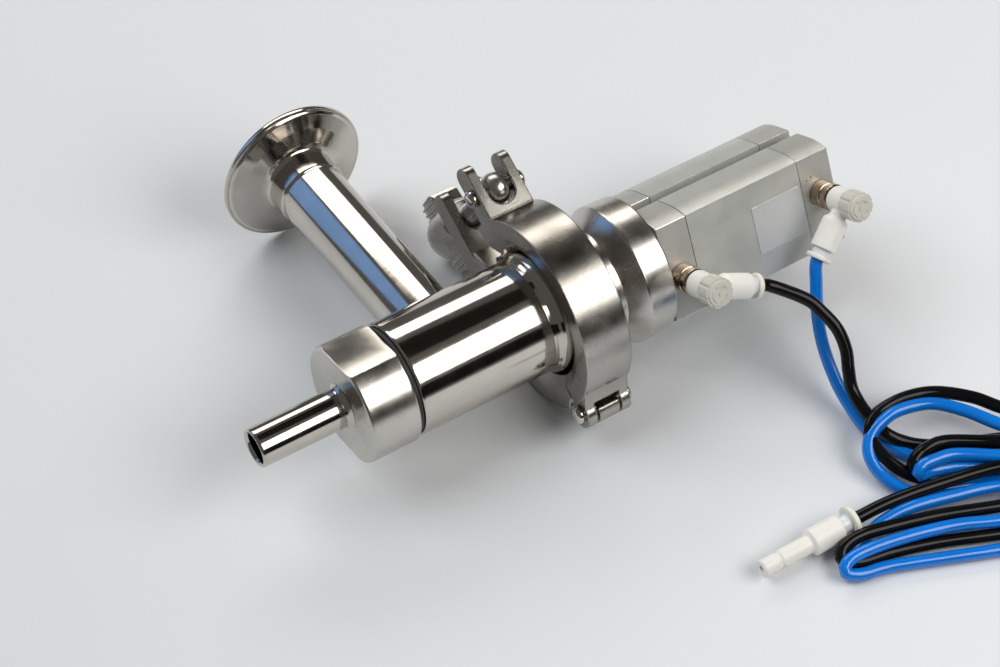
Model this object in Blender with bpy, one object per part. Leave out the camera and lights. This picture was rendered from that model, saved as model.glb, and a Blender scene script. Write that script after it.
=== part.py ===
"""Pneumatic actuated valve: a tube body with an axial nozzle and a side branch, closed by a plunger
on a long stem, held by a two-piece clamp to a square compact cylinder with two air fittings.

Sizes are millimetres in the valve's own frame: the main axis is X, from the nozzle (-X) to the rear
of the cylinder (+X), with X = 0 on the cylinder's front face. The cylinder's port face is square to -Y.
The whole valve is then rolled about its main axis to lie as it rests on its clamp and branch flange.
Angles are about X, from +Y towards +Z.
"""
import math

import bmesh
import bpy
from mathutils import Matrix, Vector

MM = 0.001
GAP = 0.3                     # clearance between neighbouring pieces
ROLL = math.radians(-29.45)   # how the valve lies on the floor
AXIS_HEIGHT = 32.46           # main axis above the floor
CENTRE_X = -36.6              # middle of the valve's length, where the origin is
CENTRE_Y = 31.126             # middle of its width

# main tube body
TUBE_R = 18.9
TUBE_WALL = 1.5
TUBE_FRONT = -91.0
TUBE_REAR = -40.6
CAP_FRONT = -109.4
CAP_REAR = -92.7
CAP_R = 19.5
FLAT_OFFSET = 17.3            # wrench flats from the axis
FLAT_ANGLE = math.radians(107)
NOZZLE_TIP = -140.2
NOZZLE_R = 6.5
NOZZLE_BORE = 5.0
SEAT_X = -85.0

# side branch
BRANCH_X = -69.9
BRANCH_ANGLE = math.radians(25.2)
BRANCH_R = 11.3
BRANCH_BORE = 9.9
BRANCH_WELD = 83.5
BRANCH_END = 98.5
FLANGE_R = 25.25

# clamp
CLAMP_X = -32.75
CLAMP_HALF = 8.25
CLAMP_R = 32.2
MOUTH_R = 26.0                # outer edge of the bevel round the clamp's mouth
HINGE_R = 35.0
HINGE_ANGLE = math.radians(-119)
LUG_R = 5.0
KNUCKLE_HALF = 3.7
HINGE_WINDOW = 1.0             # room beside and around the knuckle
BOLT_ANGLE = math.radians(-33)
EAR_ANGLE = BOLT_ANGLE + math.pi / 2
PIVOT = (-4.15, 40.0)         # along the bolt's and the ears' directions
EAR_THICK = 8.5
EAR_TOP = 50.2
REAR_EAR = 23.3               # from the pivot to the rear ears' near side
SLOT_HALF = 4.8
BOLT_R = 3.9
PIN_R = 2.3
NUT_LENGTH = 24.9
WING_HALF = 4.8

# adapter and stem
ADAPTER_REAR = -0.3
ADAPTER_R = 23.2
NECK_R = 18.3
STEM_R = 5.0

# compact cylinder
CYL_LENGTH = 67.0
CYL_HALF = 17.75
CYL_EDGE = 16.25
FRONT_SEAM = 11.4
REAR_SEAM = 54.8
BORE_R = 10.0
SCREW_OFFSET = 11.0
SCREW_HOLE_R = 2.3
PISTON_FRONT = FRONT_SEAM + GAP
PISTON_THICK = 11.0

# air fittings and tubing
FRONT_PORT = (5.5, -2.6)
REAR_PORT = (61.6, 2.3)
FRONT_SOCKET = math.radians(-24)
REAR_SOCKET = math.radians(-135)
HOSE_R = 2.1
SOCKET_Y = -30.5

WORLD = (Matrix.Translation((-CENTRE_X, -CENTRE_Y, AXIS_HEIGHT)) @ Matrix.Rotation(ROLL, 4, "X"))
SCALE = Matrix.Scale(MM, 4)

MATERIALS = {
    "polished_steel": ((0.62, 0.61, 0.58), 1.0, 0.12),
    "satin_steel": ((0.55, 0.54, 0.51), 1.0, 0.32),
    "cast_steel": ((0.50, 0.48, 0.45), 1.0, 0.28),
    "stem_steel": ((0.66, 0.65, 0.63), 1.0, 0.18),
    "anodised_aluminium": ((0.70, 0.71, 0.70), 0.9, 0.38),
    "nickel_brass": ((0.50, 0.40, 0.31), 1.0, 0.22),
    "white_plastic": ((0.82, 0.81, 0.76), 0.0, 0.45),
    "grey_plastic": ((0.62, 0.60, 0.53), 0.0, 0.5),
    "black_rubber": ((0.02, 0.02, 0.02), 0.0, 0.6),
    "bearing_plastic": ((0.15, 0.13, 0.11), 0.0, 0.5),
    "magnet_black": ((0.06, 0.06, 0.07), 0.2, 0.5),
    "label_film": ((0.72, 0.74, 0.75), 0.4, 0.35),
    "blue_hose": ((0.01, 0.20, 0.78), 0.0, 0.25),
    "black_hose": ((0.01, 0.01, 0.011), 0.0, 0.22),
}


# ---------------------------------------------------------------- helpers

def clear_scene():
    for obj in list(bpy.data.objects):
        bpy.data.objects.remove(obj, do_unlink=True)


def material(name):
    """The named Principled material, made once."""
    found = bpy.data.materials.get(name)
    if found:
        return found
    colour, metallic, roughness = MATERIALS[name]
    made = bpy.data.materials.new(name)
    made.use_nodes = True
    shader = made.node_tree.nodes["Principled BSDF"]
    shader.inputs["Base Color"].default_value = (*colour, 1.0)
    shader.inputs["Metallic"].default_value = metallic
    shader.inputs["Roughness"].default_value = roughness
    return made


def add(name, bm, slot, frame=None, smooth=True):
    """A named object from a bmesh in millimetres, placed by frame in the valve's own frame."""
    bmesh.ops.remove_doubles(bm, verts=bm.verts, dist=0.0005)
    bmesh.ops.recalc_face_normals(bm, faces=bm.faces)
    bmesh.ops.transform(bm, matrix=SCALE, verts=bm.verts)
    mesh = bpy.data.meshes.new(name)
    bm.to_mesh(mesh)
    bm.free()
    for face in mesh.polygons:
        face.use_smooth = smooth
    if smooth:
        mesh.set_sharp_from_angle(angle=math.radians(35))
    mesh.materials.append(material(slot))
    obj = bpy.data.objects.new(name, mesh)
    bpy.data.collections["pneumatic_valve"].objects.link(obj)
    place = WORLD @ (frame or Matrix.Identity(4))
    rotation = place.to_3x3().to_4x4()
    obj.matrix_world = Matrix.Translation(place.translation * MM) @ rotation
    return obj


def axis_frame(origin, along, up=Vector((0, 0, 1))):
    """A frame at origin with its X along the given direction and its Z near up."""
    x = Vector(along).normalized()
    y = up.cross(x).normalized()
    z = x.cross(y)
    frame = Matrix((x, y, z)).transposed().to_4x4()
    frame.translation = Vector(origin)
    return frame


def turned_mesh(profile, segments, closed=True):
    """A turned shape about X from (x, r) points: a closed ring section, or open with ends on the axis."""
    bm = bmesh.new()
    verts = [bm.verts.new((x, 0.0, r)) for x, r in profile]
    edges = [bm.edges.new(pair) for pair in zip(verts, verts[1:])]
    if closed:
        edges.append(bm.edges.new((verts[-1], verts[0])))
    bmesh.ops.spin(bm, geom=verts + edges, cent=(0, 0, 0), axis=(1, 0, 0), dvec=(0, 0, 0),
                   angle=2 * math.pi, steps=segments, use_merge=True, use_duplicate=False)
    bmesh.ops.remove_doubles(bm, verts=bm.verts, dist=0.0005)
    return bm


def turned(name, profile, slot, segments=36, closed=True, frame=None):
    return add(name, turned_mesh(profile, segments, closed), slot, frame)


def tube_profile(x0, x1, inner, outer, edge=0.25):
    """A plain sleeve with small chamfers on its outer edges."""
    return [(x0, inner), (x0, outer - edge), (x0 + edge, outer),
            (x1 - edge, outer), (x1, outer - edge), (x1, inner)]


def loft_mesh(near, far):
    """A closed body between two outlines with the same number of points."""
    bm = bmesh.new()
    first = [bm.verts.new(point) for point in near]
    last = [bm.verts.new(point) for point in far]
    bm.faces.new(first)
    bm.faces.new(last)
    count = len(first)
    for i in range(count):
        j = (i + 1) % count
        bm.faces.new((first[i], first[j], last[j], last[i]))
    bmesh.ops.recalc_face_normals(bm, faces=bm.faces)
    return bm


def prism_mesh(outline, x0, x1):
    """A closed (y, z) outline extruded from x0 to x1 along X."""
    return loft_mesh([(x0, y, z) for y, z in outline], [(x1, y, z) for y, z in outline])


def cylinder_mesh(radius, x0, x1, y=0.0, z=0.0, segments=18):
    ring = [(y + radius * math.cos(a), z + radius * math.sin(a))
            for a in (2 * math.pi * (i + 0.5) / segments for i in range(segments))]
    return prism_mesh(ring, x0, x1)


def boolean(obj, bm, operation, frame=None):
    """Boolean a bmesh, given in the object's own millimetre frame or in frame, into the object."""
    if frame is not None:
        bmesh.ops.transform(bm, matrix=frame, verts=bm.verts)
    bmesh.ops.recalc_face_normals(bm, faces=bm.faces)
    bmesh.ops.transform(bm, matrix=SCALE, verts=bm.verts)
    mesh = bpy.data.meshes.new("cutter")
    bm.to_mesh(mesh)
    bm.free()
    tool = bpy.data.objects.new("cutter", mesh)
    bpy.data.collections["cutters"].objects.link(tool)
    tool.matrix_world = obj.matrix_world.copy()
    step = obj.modifiers.new("step", "BOOLEAN")
    step.operation = operation
    step.solver = "EXACT"
    step.object = tool
    graph = bpy.context.evaluated_depsgraph_get()
    result = bpy.data.meshes.new_from_object(obj.evaluated_get(graph))
    result.name = obj.name
    obj.modifiers.clear()
    old = obj.data
    obj.data = result
    bpy.data.meshes.remove(old)
    bpy.data.objects.remove(tool)
    bpy.data.meshes.remove(mesh)
    clean(result)
    return obj


def clean(mesh):
    """Weld the boolean's seams and set smooth faces with sharp edges."""
    bm = bmesh.new()
    bm.from_mesh(mesh)
    bmesh.ops.remove_doubles(bm, verts=bm.verts, dist=0.000002)
    bmesh.ops.dissolve_degenerate(bm, edges=bm.edges, dist=0.000001)
    bmesh.ops.recalc_face_normals(bm, faces=bm.faces)
    bm.to_mesh(mesh)
    bm.free()
    for face in mesh.polygons:
        face.use_smooth = True
    mesh.set_sharp_from_angle(angle=math.radians(35))


def screw_places():
    return [(y, z) for y in (-SCREW_OFFSET, SCREW_OFFSET) for z in (-SCREW_OFFSET, SCREW_OFFSET)]


def screw_holes(obj, radius, x0, x1):
    for y, z in screw_places():
        boolean(obj, cylinder_mesh(radius, x0, x1, y, z, 12), "DIFFERENCE")


def move_origin(obj, point):
    """Set the object's origin to a point of the valve's own frame without moving its shape."""
    target = WORLD @ Vector(point)
    shift = obj.matrix_world.inverted() @ (target * MM)
    obj.data.transform(Matrix.Translation(-shift))
    obj.matrix_world = Matrix.Translation(target * MM) @ obj.matrix_world.to_3x3().to_4x4()


def polar(radius, angle):
    return radius * math.cos(angle), radius * math.sin(angle)


def clamp_point(bolt, ear):
    """A (y, z) point from distances along the bolt's direction and along the ears' direction."""
    by, bz = polar(bolt, BOLT_ANGLE)
    ey, ez = polar(ear, EAR_ANGLE)
    return by + ey, bz + ez


def rounded_box(x0, y0, x1, y1, radius, steps=4):
    """A rectangle outline with rounded corners, counter-clockwise from the lower right."""
    centres = ((x1 - radius, y0 + radius, -90), (x1 - radius, y1 - radius, 0),
               (x0 + radius, y1 - radius, 90), (x0 + radius, y0 + radius, 180))
    points = []
    for cx, cy, start in centres:
        for i in range(steps + 1):
            angle = math.radians(start + 90 * i / steps)
            points.append((cx + radius * math.cos(angle), cy + radius * math.sin(angle)))
    return points


# ---------------------------------------------------------------- tube body and nozzle

def nozzle_tube():
    weld = CAP_FRONT - GAP
    profile = [
        (NOZZLE_TIP + 0.7, NOZZLE_BORE), (NOZZLE_TIP, NOZZLE_BORE + 0.6),
        (NOZZLE_TIP, NOZZLE_R - 0.4), (NOZZLE_TIP + 0.4, NOZZLE_R),
        (weld - 0.8, NOZZLE_R), (weld - 0.4, NOZZLE_R + 0.6), (weld, NOZZLE_R + 0.8),
        (weld, NOZZLE_R), (-95.0, NOZZLE_R), (-95.0, NOZZLE_BORE),
    ]
    return turned("nozzle_tube", profile, "polished_steel", 32)


def end_cap():
    hole = NOZZLE_R + GAP
    spigot = TUBE_R - TUBE_WALL - GAP
    profile = [
        (CAP_FRONT, hole), (CAP_FRONT, CAP_R - 0.7), (CAP_FRONT + 0.7, CAP_R),
        (CAP_REAR - 0.5, CAP_R), (CAP_REAR, CAP_R - 0.5), (CAP_REAR, spigot),
        (SEAT_X, spigot), (SEAT_X, 9.0), (-89.0, NOZZLE_BORE), (-94.7, NOZZLE_BORE), (-94.7, hole),
    ]
    cap = turned("end_cap", profile, "satin_steel", 40)
    for side in (0, math.pi):
        box = prism_mesh(rounded_box(FLAT_OFFSET, -15, 30, 15, 0.5, 1), CAP_FRONT - 1, CAP_REAR + 0.1)
        boolean(cap, box, "DIFFERENCE", Matrix.Rotation(FLAT_ANGLE + side, 4, "X"))
    return cap


def end_cap_seal():
    profile = tube_profile(CAP_REAR + GAP, TUBE_FRONT - 0.3, TUBE_R - 1.45, TUBE_R - 0.5, 0.1)
    return turned("end_cap_seal", profile, "black_rubber", 36)


def valve_body_tube():
    inner = TUBE_R - TUBE_WALL
    profile = [
        (TUBE_FRONT, inner), (TUBE_FRONT, TUBE_R - 0.5), (TUBE_FRONT + 0.4, TUBE_R),
        (-45.0, TUBE_R), (-43.0, TUBE_R + 0.15), (-41.6, TUBE_R + 0.5),
        (TUBE_REAR, TUBE_R + 1.0), (TUBE_REAR, inner),
    ]
    tube = turned("valve_body_tube", profile, "polished_steel", 40)
    hole = cylinder_mesh(BRANCH_BORE, 5.0, 25.0, segments=24)
    return boolean(tube, hole, "DIFFERENCE", branch_frame())


def body_ferrule():
    inner = TUBE_R - TUBE_WALL
    front = TUBE_REAR + GAP
    face = CLAMP_X - 0.8 - GAP
    profile = [
        (front, inner), (front, TUBE_R + 1.15), (-38.4, 20.6), (face - 3.2, 21.0),
        (face - 1.6, FLANGE_R - 0.3), (face - 1.3, FLANGE_R), (face, FLANGE_R), (face, inner),
    ]
    return turned("body_ferrule", profile, "polished_steel", 40)


def clamp_gasket():
    profile = [
        (CLAMP_X - 0.8, TUBE_R - TUBE_WALL), (CLAMP_X - 0.8, 23.9),
        (CLAMP_X + 0.8, 23.9), (CLAMP_X + 0.8, TUBE_R - TUBE_WALL),
    ]
    return turned("clamp_gasket", profile, "black_rubber", 36)


def branch_frame():
    """The branch's frame: its X runs out along the branch from the main axis."""
    return axis_frame((BRANCH_X, 0, 0), (0, *polar(1.0, BRANCH_ANGLE)), Vector((1, 0, 0)))


def branch_pipe():
    profile = [(8.0, BRANCH_BORE), (8.0, BRANCH_R), (BRANCH_WELD, BRANCH_R), (BRANCH_WELD, BRANCH_BORE)]
    pipe = turned("branch_pipe", profile, "polished_steel", 32, frame=branch_frame())
    body = cylinder_mesh(TUBE_R + GAP, -60, 60, segments=40)
    return boolean(pipe, body, "DIFFERENCE", branch_frame().inverted() @ Matrix.Translation((BRANCH_X, 0, 0)))


def branch_ferrule():
    start = BRANCH_WELD + GAP
    rim = BRANCH_END - 1.8
    profile = [
        (start, BRANCH_BORE), (start, BRANCH_R + 0.1), (start + 0.3, BRANCH_R + 0.5),
        (BRANCH_END - 7.2, BRANCH_R + 0.6), (BRANCH_END - 6.2, BRANCH_R + 1.2),
        (BRANCH_END - 5.4, BRANCH_R + 3.0), (rim - 2.2, 19.0), (rim - 0.5, FLANGE_R - 1.4),
        (rim, FLANGE_R - 1.0), (rim, FLANGE_R - 0.3), (rim + 0.3, FLANGE_R),
        (BRANCH_END - 0.3, FLANGE_R), (BRANCH_END, FLANGE_R - 0.3),
        (BRANCH_END, 23.0), (BRANCH_END - 0.9, 22.4), (BRANCH_END - 0.9, 21.2), (BRANCH_END, 20.6),
        (BRANCH_END, BRANCH_BORE),
    ]
    return turned("branch_ferrule", profile, "polished_steel", 40, frame=branch_frame())


# ---------------------------------------------------------------- clamp

def arc_mesh(start, end, inner, outer, half, steps):
    """A square-section arc of the clamp band with chamfered outer edges."""
    edge = 0.8
    section = [
        (CLAMP_X - half, inner), (CLAMP_X - half, outer - edge), (CLAMP_X - half + edge, outer),
        (CLAMP_X + half - edge, outer), (CLAMP_X + half, outer - edge), (CLAMP_X + half, inner),
    ]
    bm = bmesh.new()
    rings = []
    for i in range(steps + 1):
        angle = start + (end - start) * i / steps
        rings.append([bm.verts.new((x, *polar(r, angle))) for x, r in section])
    for ring, following in zip(rings, rings[1:]):
        for i in range(len(section)):
            j = (i + 1) % len(section)
            bm.faces.new((ring[i], ring[j], following[j], following[i]))
    bm.faces.new(rings[0])
    bm.faces.new(rings[-1])
    return bm


def groove_mesh():
    """The space the clamp band leaves round the two flanges: a wide V with lips and bevelled mouths."""
    profile = [
        (CLAMP_X - 12, 0.0), (CLAMP_X - 12, 31.6), (CLAMP_X - CLAMP_HALF, MOUTH_R),
        (CLAMP_X - 6.0, 21.9), (CLAMP_X - 5.2, 21.9), (CLAMP_X - 3.4, 26.2),
        (CLAMP_X + 3.4, 26.2), (CLAMP_X + 5.2, 21.9), (CLAMP_X + 6.0, 21.9),
        (CLAMP_X + CLAMP_HALF, MOUTH_R), (CLAMP_X + 12, 31.6), (CLAMP_X + 12, 0.0),
    ]
    return turned_mesh(profile, 40, closed=False)


def ear_mesh(near, foot):
    """An ear plate from its near side along the bolt, reaching down to foot in the band."""
    outline = rounded_box(near, foot, near + EAR_THICK, EAR_TOP, 3.4)
    return prism_mesh([clamp_point(b, e) for b, e in outline],
                      CLAMP_X - CLAMP_HALF + 0.2, CLAMP_X + CLAMP_HALF - 0.2)


def lug_mesh(side, x0, x1):
    """A round hinge lug with a web into the band, on the side of the pin given by +1 or -1."""
    hinge = Vector(polar(HINGE_R, HINGE_ANGLE))
    ring = [hinge + Vector(polar(LUG_R, HINGE_ANGLE + side * math.radians(a)))
            for a in (-75, -50, -25, 0, 30, 60, 90)]
    root = [Vector(polar(r, HINGE_ANGLE + side * math.radians(a))) for r, a in ((31.0, 24), (27.5, 4))]
    outline = ring + root
    return prism_mesh([(p.x, p.y) for p in outline], x0, x1)


def slot_mesh():
    """The U slot across both pairs of ears, open at their tips."""
    bottom = PIVOT[1] - 1.4
    steps = 10
    arc = [(CLAMP_X + SLOT_HALF * math.cos(a), bottom + SLOT_HALF * math.sin(a))
           for a in (math.pi + math.pi * i / steps for i in range(steps + 1))]
    outline = arc + [(CLAMP_X + SLOT_HALF, EAR_TOP + 5), (CLAMP_X - SLOT_HALF, EAR_TOP + 5)]
    return loft_mesh([(x, *clamp_point(-20.0, e)) for x, e in outline],
                     [(x, *clamp_point(45.0, e)) for x, e in outline])


def pin_hole(radius, angle_radius):
    y, z = angle_radius
    return cylinder_mesh(radius, CLAMP_X - 14, CLAMP_X + 14, y, z, 14)


def clamp_half_front():
    half = add("clamp_half_front", arc_mesh(math.radians(50), HINGE_ANGLE + 2 * math.pi - 0.012, 20.5,
                                            CLAMP_R, CLAMP_HALF, 22), "cast_steel")
    boolean(half, ear_mesh(PIVOT[0] - EAR_THICK / 2, 24.0), "UNION")
    lug_end = CLAMP_HALF - 0.3
    boolean(half, lug_mesh(-1, CLAMP_X - lug_end, CLAMP_X + lug_end), "UNION")
    boolean(half, groove_mesh(), "DIFFERENCE")
    boolean(half, slot_mesh(), "DIFFERENCE")
    hinge = polar(HINGE_R, HINGE_ANGLE)
    reach = KNUCKLE_HALF + HINGE_WINDOW
    window = cylinder_mesh(LUG_R + HINGE_WINDOW + 0.3, CLAMP_X - reach, CLAMP_X + reach, *hinge, 18)
    boolean(half, window, "DIFFERENCE")
    boolean(half, pin_hole(PIN_R + GAP, hinge), "DIFFERENCE")
    boolean(half, pin_hole(PIN_R + GAP, clamp_point(*PIVOT)), "DIFFERENCE")
    move_origin(half, (CLAMP_X, *hinge))
    return half


def clamp_half_rear():
    half = add("clamp_half_rear", arc_mesh(HINGE_ANGLE + 0.02, math.radians(25), 20.5,
                                           CLAMP_R, CLAMP_HALF, 18), "cast_steel")
    boolean(half, ear_mesh(PIVOT[0] + REAR_EAR, 13.0), "UNION")
    hinge = polar(HINGE_R, HINGE_ANGLE)
    for x0, x1 in ((-9.0, -KNUCKLE_HALF), (KNUCKLE_HALF, 9.0)):
        room = cylinder_mesh(LUG_R + 0.6, CLAMP_X + x0, CLAMP_X + x1, *hinge, 18)
        boolean(half, room, "DIFFERENCE")
    boolean(half, lug_mesh(1, CLAMP_X - KNUCKLE_HALF, CLAMP_X + KNUCKLE_HALF), "UNION")
    boolean(half, groove_mesh(), "DIFFERENCE")
    boolean(half, slot_mesh(), "DIFFERENCE")
    boolean(half, pin_hole(PIN_R + GAP, hinge), "DIFFERENCE")
    return half


def pin(name, centre):
    """A riveted pin with a domed head at each end."""
    head = CLAMP_HALF + GAP
    profile = [(-head - 2.0, 0.0), (-head - 1.8, 1.2), (-head - 1.2, 2.2), (-head, 2.9), (-head, PIN_R),
               (head, PIN_R), (head, 2.9), (head + 1.2, 2.2), (head + 1.8, 1.2), (head + 2.0, 0.0)]
    return turned(name, profile, "polished_steel", 14, closed=False,
                  frame=Matrix.Translation((CLAMP_X, *centre)))


def bolt_frame():
    """The eye bolt's frame: origin on its pivot, X along its shank."""
    return axis_frame((CLAMP_X, *clamp_point(*PIVOT)), (0, *polar(1.0, BOLT_ANGLE)), Vector((1, 0, 0)))


def eye_bolt():
    shank = [(1.0, 0.0), (1.0, BOLT_R), (53.8, BOLT_R), (54.6, BOLT_R - 0.8), (54.6, 0.0)]
    bolt = turned("eye_bolt", shank, "satin_steel", 18, closed=False, frame=bolt_frame())
    across = Matrix.Rotation(math.radians(-90), 4, "Y")
    ball = [(-4.0, 0.0), (-4.0, 3.3), (-3.4, 4.3), (-2.3, 5.1), (-0.9, 5.5)]
    head = turned_mesh(ball + [(-x, r) for x, r in reversed(ball)], 18, closed=False)
    boolean(bolt, head, "UNION", across)
    boolean(bolt, cylinder_mesh(PIN_R + 0.1, -8, 8, segments=14), "DIFFERENCE", across)
    return bolt


def wing_nut():
    start = REAR_EAR + EAR_THICK + GAP
    end = start + NUT_LENGTH
    profile = [
        (end - 1.6, 0.0), (end - 1.6, BOLT_R + 0.15), (start, BOLT_R + 0.15), (start, 6.6),
        (start + 2.0, 8.0), (start + 8.0, 8.8), (start + 15.0, 8.9), (end - 4.0, 7.4),
        (end - 1.2, 5.6), (end, 2.5), (end, 0.0),
    ]
    nut = turned("wing_nut", profile, "cast_steel", 18, closed=False, frame=bolt_frame())
    for side in (1, -1):
        wing = [(start + 5.5, side * 4.0), (start + 7.0, side * 12.0), (start + 8.5, side * 13.5),
                (start + 17.5, side * 13.0), (start + 19.8, side * 11.0), (start + 19.4, side * 4.0)]
        plate = loft_mesh([(s, e, -WING_HALF) for s, e in wing], [(s, e, WING_HALF) for s, e in wing])
        boolean(nut, plate, "UNION")
    return nut


# ---------------------------------------------------------------- adapter, stem and plunger

def cylinder_adapter():
    face = CLAMP_X + 0.8 + GAP
    hole = STEM_R + 0.6
    profile = [
        (face, 9.4), (face, FLANGE_R), (face + 1.3, FLANGE_R), (face + 1.6, FLANGE_R - 0.3),
        (face + 3.2, 21.0), (face + 4.6, 20.4), (face + 6.4, NECK_R + 0.3), (-16.1, NECK_R),
        (-15.8, NECK_R + 0.1), (-10.4, ADAPTER_R + 0.1), (-9.9, ADAPTER_R + 0.3),
        (ADAPTER_REAR - 0.5, ADAPTER_R), (ADAPTER_REAR, ADAPTER_R - 0.5), (ADAPTER_REAR, hole),
        (-16.5, hole), (-16.5, 9.4),
    ]
    adapter = turned("cylinder_adapter", profile, "satin_steel", 40)
    screw_holes(adapter, SCREW_HOLE_R, -8.5, 1.0)


def stem_pieces():
    """Bush and lip seal in the adapter, and the stem, plunger and seal that move through them."""
    turned("stem_bush", tube_profile(-23.4, -16.8, STEM_R + 0.08, 9.1, 0.3), "bearing_plastic", 24)
    turned("stem_seal", tube_profile(-31.2, -23.8, STEM_R + 0.08, 9.1, 0.6), "black_rubber", 24)
    joint = -12.0
    stem = [
        (-83.5, 0.0), (-83.5, 3.0), (-72.5, 3.0), (-72.5, STEM_R - 0.3), (-72.2, STEM_R),
        (joint - 0.3, STEM_R), (joint, STEM_R - 0.3), (joint, 2.2), (joint + 10.0, 2.2), (joint + 10.0, 0.0),
    ]
    turned("valve_stem", stem, "stem_steel", 24, closed=False)
    plunger = [(-83.2, 3.2), (-83.2, 7.2), (-80.0, 9.6), (-73.4, 9.6), (-72.8, 9.0), (-72.8, 3.2)]
    turned("valve_plunger", plunger, "stem_steel", 24)
    seal = [(-84.6, 3.3), (-84.6, 6.2), (-83.5, 6.9), (-83.5, 3.3)]
    turned("plunger_seal", seal, "black_rubber", 24)


# ---------------------------------------------------------------- compact cylinder

def cylinder_outline():
    """The cylinder's section: flat sides, crowned top and bottom, a sensor slot on three sides."""
    crown = 8.5
    slot_half = 2.45
    slot_depth = 3.8
    points = []
    for turn in (1, -1):
        side = []
        for i in range(7):
            share = i / 6
            y = -CYL_HALF + crown * share
            drop = (CYL_HALF - CYL_EDGE) * (1 - share) ** 2
            side.append((y, CYL_HALF - drop))
        side += [(-slot_half, CYL_HALF), (-slot_half, CYL_HALF - slot_depth),
                 (slot_half, CYL_HALF - slot_depth), (slot_half, CYL_HALF)]
        side += [(-y, z) for y, z in reversed(side[:7])]
        if turn == 1:
            points += side
            points += [(CYL_HALF, slot_half), (CYL_HALF - slot_depth, slot_half),
                       (CYL_HALF - slot_depth, -slot_half), (CYL_HALF, -slot_half)]
        else:
            points += [(y, -z) for y, z in reversed(side)]
    return points


def port_hole(obj, port):
    x, z = port
    across = axis_frame((x, 0, z), (0, -1, 0))
    boolean(obj, cylinder_mesh(2.6, 6.0, CYL_HALF + 2, segments=14), "DIFFERENCE", across)


def cylinder_front_cap():
    cap = add("cylinder_front_cap", prism_mesh(cylinder_outline(), 0.0, FRONT_SEAM - 0.1),
              "anodised_aluminium")
    boolean(cap, cylinder_mesh(STEM_R + 0.5, -1.0, 3.0, segments=24), "DIFFERENCE")
    boolean(cap, cylinder_mesh(8.3, 1.5, FRONT_SEAM + 1, segments=32), "DIFFERENCE")
    screw_holes(cap, SCREW_HOLE_R, -1.0, FRONT_SEAM + 1)
    port_hole(cap, FRONT_PORT)
    return cap


def cylinder_barrel():
    barrel = add("cylinder_barrel", prism_mesh(cylinder_outline(), FRONT_SEAM + 0.1, REAR_SEAM - 0.1),
                 "anodised_aluminium")
    boolean(barrel, cylinder_mesh(BORE_R, FRONT_SEAM - 1, REAR_SEAM + 1, segments=36), "DIFFERENCE")
    screw_holes(barrel, SCREW_HOLE_R, FRONT_SEAM - 1, REAR_SEAM + 1)
    return barrel


def cylinder_rear_cap():
    cap = add("cylinder_rear_cap", prism_mesh(cylinder_outline(), REAR_SEAM + 0.1, CYL_LENGTH),
              "anodised_aluminium")
    boolean(cap, cylinder_mesh(8.3, REAR_SEAM - 1, CYL_LENGTH - 2.6, segments=32), "DIFFERENCE")
    screw_holes(cap, SCREW_HOLE_R, REAR_SEAM - 1, CYL_LENGTH + 1)
    screw_holes(cap, 3.7, CYL_LENGTH - 4.2, CYL_LENGTH + 1)
    port_hole(cap, REAR_PORT)
    return cap


def cylinder_inside():
    """Seals, bumpers, piston and rod inside the cylinder."""
    turned("rod_seal", tube_profile(1.8, 4.0, STEM_R + 0.08, 8.0, 0.4), "black_rubber", 24)
    turned("front_bumper", tube_profile(8.6, 11.2, 6.0, 8.0, 0.3), "black_rubber", 24)
    turned("rear_bumper", tube_profile(55.2, 57.6, 4.5, 8.0, 0.3), "black_rubber", 24)
    front = PISTON_FRONT
    rear = front + PISTON_THICK
    body = BORE_R - 0.2
    piston = [
        (front, 4.1), (front, body - 0.6), (front + 0.6, body),
        (front + 2.0, body), (front + 2.0, 7.6), (front + 4.6, 7.6), (front + 4.6, body),
        (front + 6.0, body), (front + 6.0, 7.6), (front + 8.6, 7.6), (front + 8.6, body),
        (rear - 0.6, body), (rear, body - 0.6), (rear, 4.1),
    ]
    turned("piston", piston, "anodised_aluminium", 32)
    turned("piston_seal", tube_profile(front + 2.2, front + 4.4, 7.8, BORE_R - 0.08, 0.3), "black_rubber", 32)
    turned("piston_magnet", tube_profile(front + 6.2, front + 8.4, 7.8, 9.6, 0.2), "magnet_black", 32)
    joint = -12.0
    rod = [
        (-1.5, 0.0), (-1.5, 2.5), (joint + GAP, 2.5), (joint + GAP, STEM_R - 0.3), (joint + 0.6, STEM_R),
        (front - GAP, STEM_R), (front - GAP, 3.9), (rear - 0.2, 3.9), (rear - 0.2, 0.0),
    ]
    turned("piston_rod", rod, "stem_steel", 24, closed=False)


def cylinder_screws():
    """Four long socket head screws from the rear cap into the adapter."""
    head = CYL_LENGTH - 3.9
    profile = [(-7.5, 0.0), (-7.5, 1.6), (-7.1, 2.0), (head, 2.0), (head, 3.3), (head + 3.3, 3.3),
               (head + 3.6, 3.0), (head + 3.6, 1.5), (head + 1.8, 1.5), (head + 1.8, 0.0)]
    for index, (y, z) in enumerate(screw_places()):
        turned(f"cylinder_screw_{index + 1}", profile, "satin_steel", 12, closed=False,
               frame=Matrix.Translation((0, y, z)))


def rating_label():
    """A blank film label on the port face."""
    y = -CYL_HALF - 0.05
    outline = [(y, -8.2), (y, 8.2), (y - 0.15, 8.2), (y - 0.15, -8.2)]
    return add("rating_label", prism_mesh(outline, 35.0, 54.0), "label_film", smooth=False)


# ---------------------------------------------------------------- air fittings

def port_frame(port):
    """A fitting's frame: X runs out of the port along -Y, Z along the cylinder's +Z."""
    x, z = port
    return axis_frame((x, 0, z), (0, -1, 0))


def socket_frame(port, angle):
    """The socket's frame: X runs out of the elbow along its tube."""
    x, z = port
    return axis_frame((x, SOCKET_Y, z), (math.cos(angle), 0, math.sin(angle)), Vector((0, 1, 0)))


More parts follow.
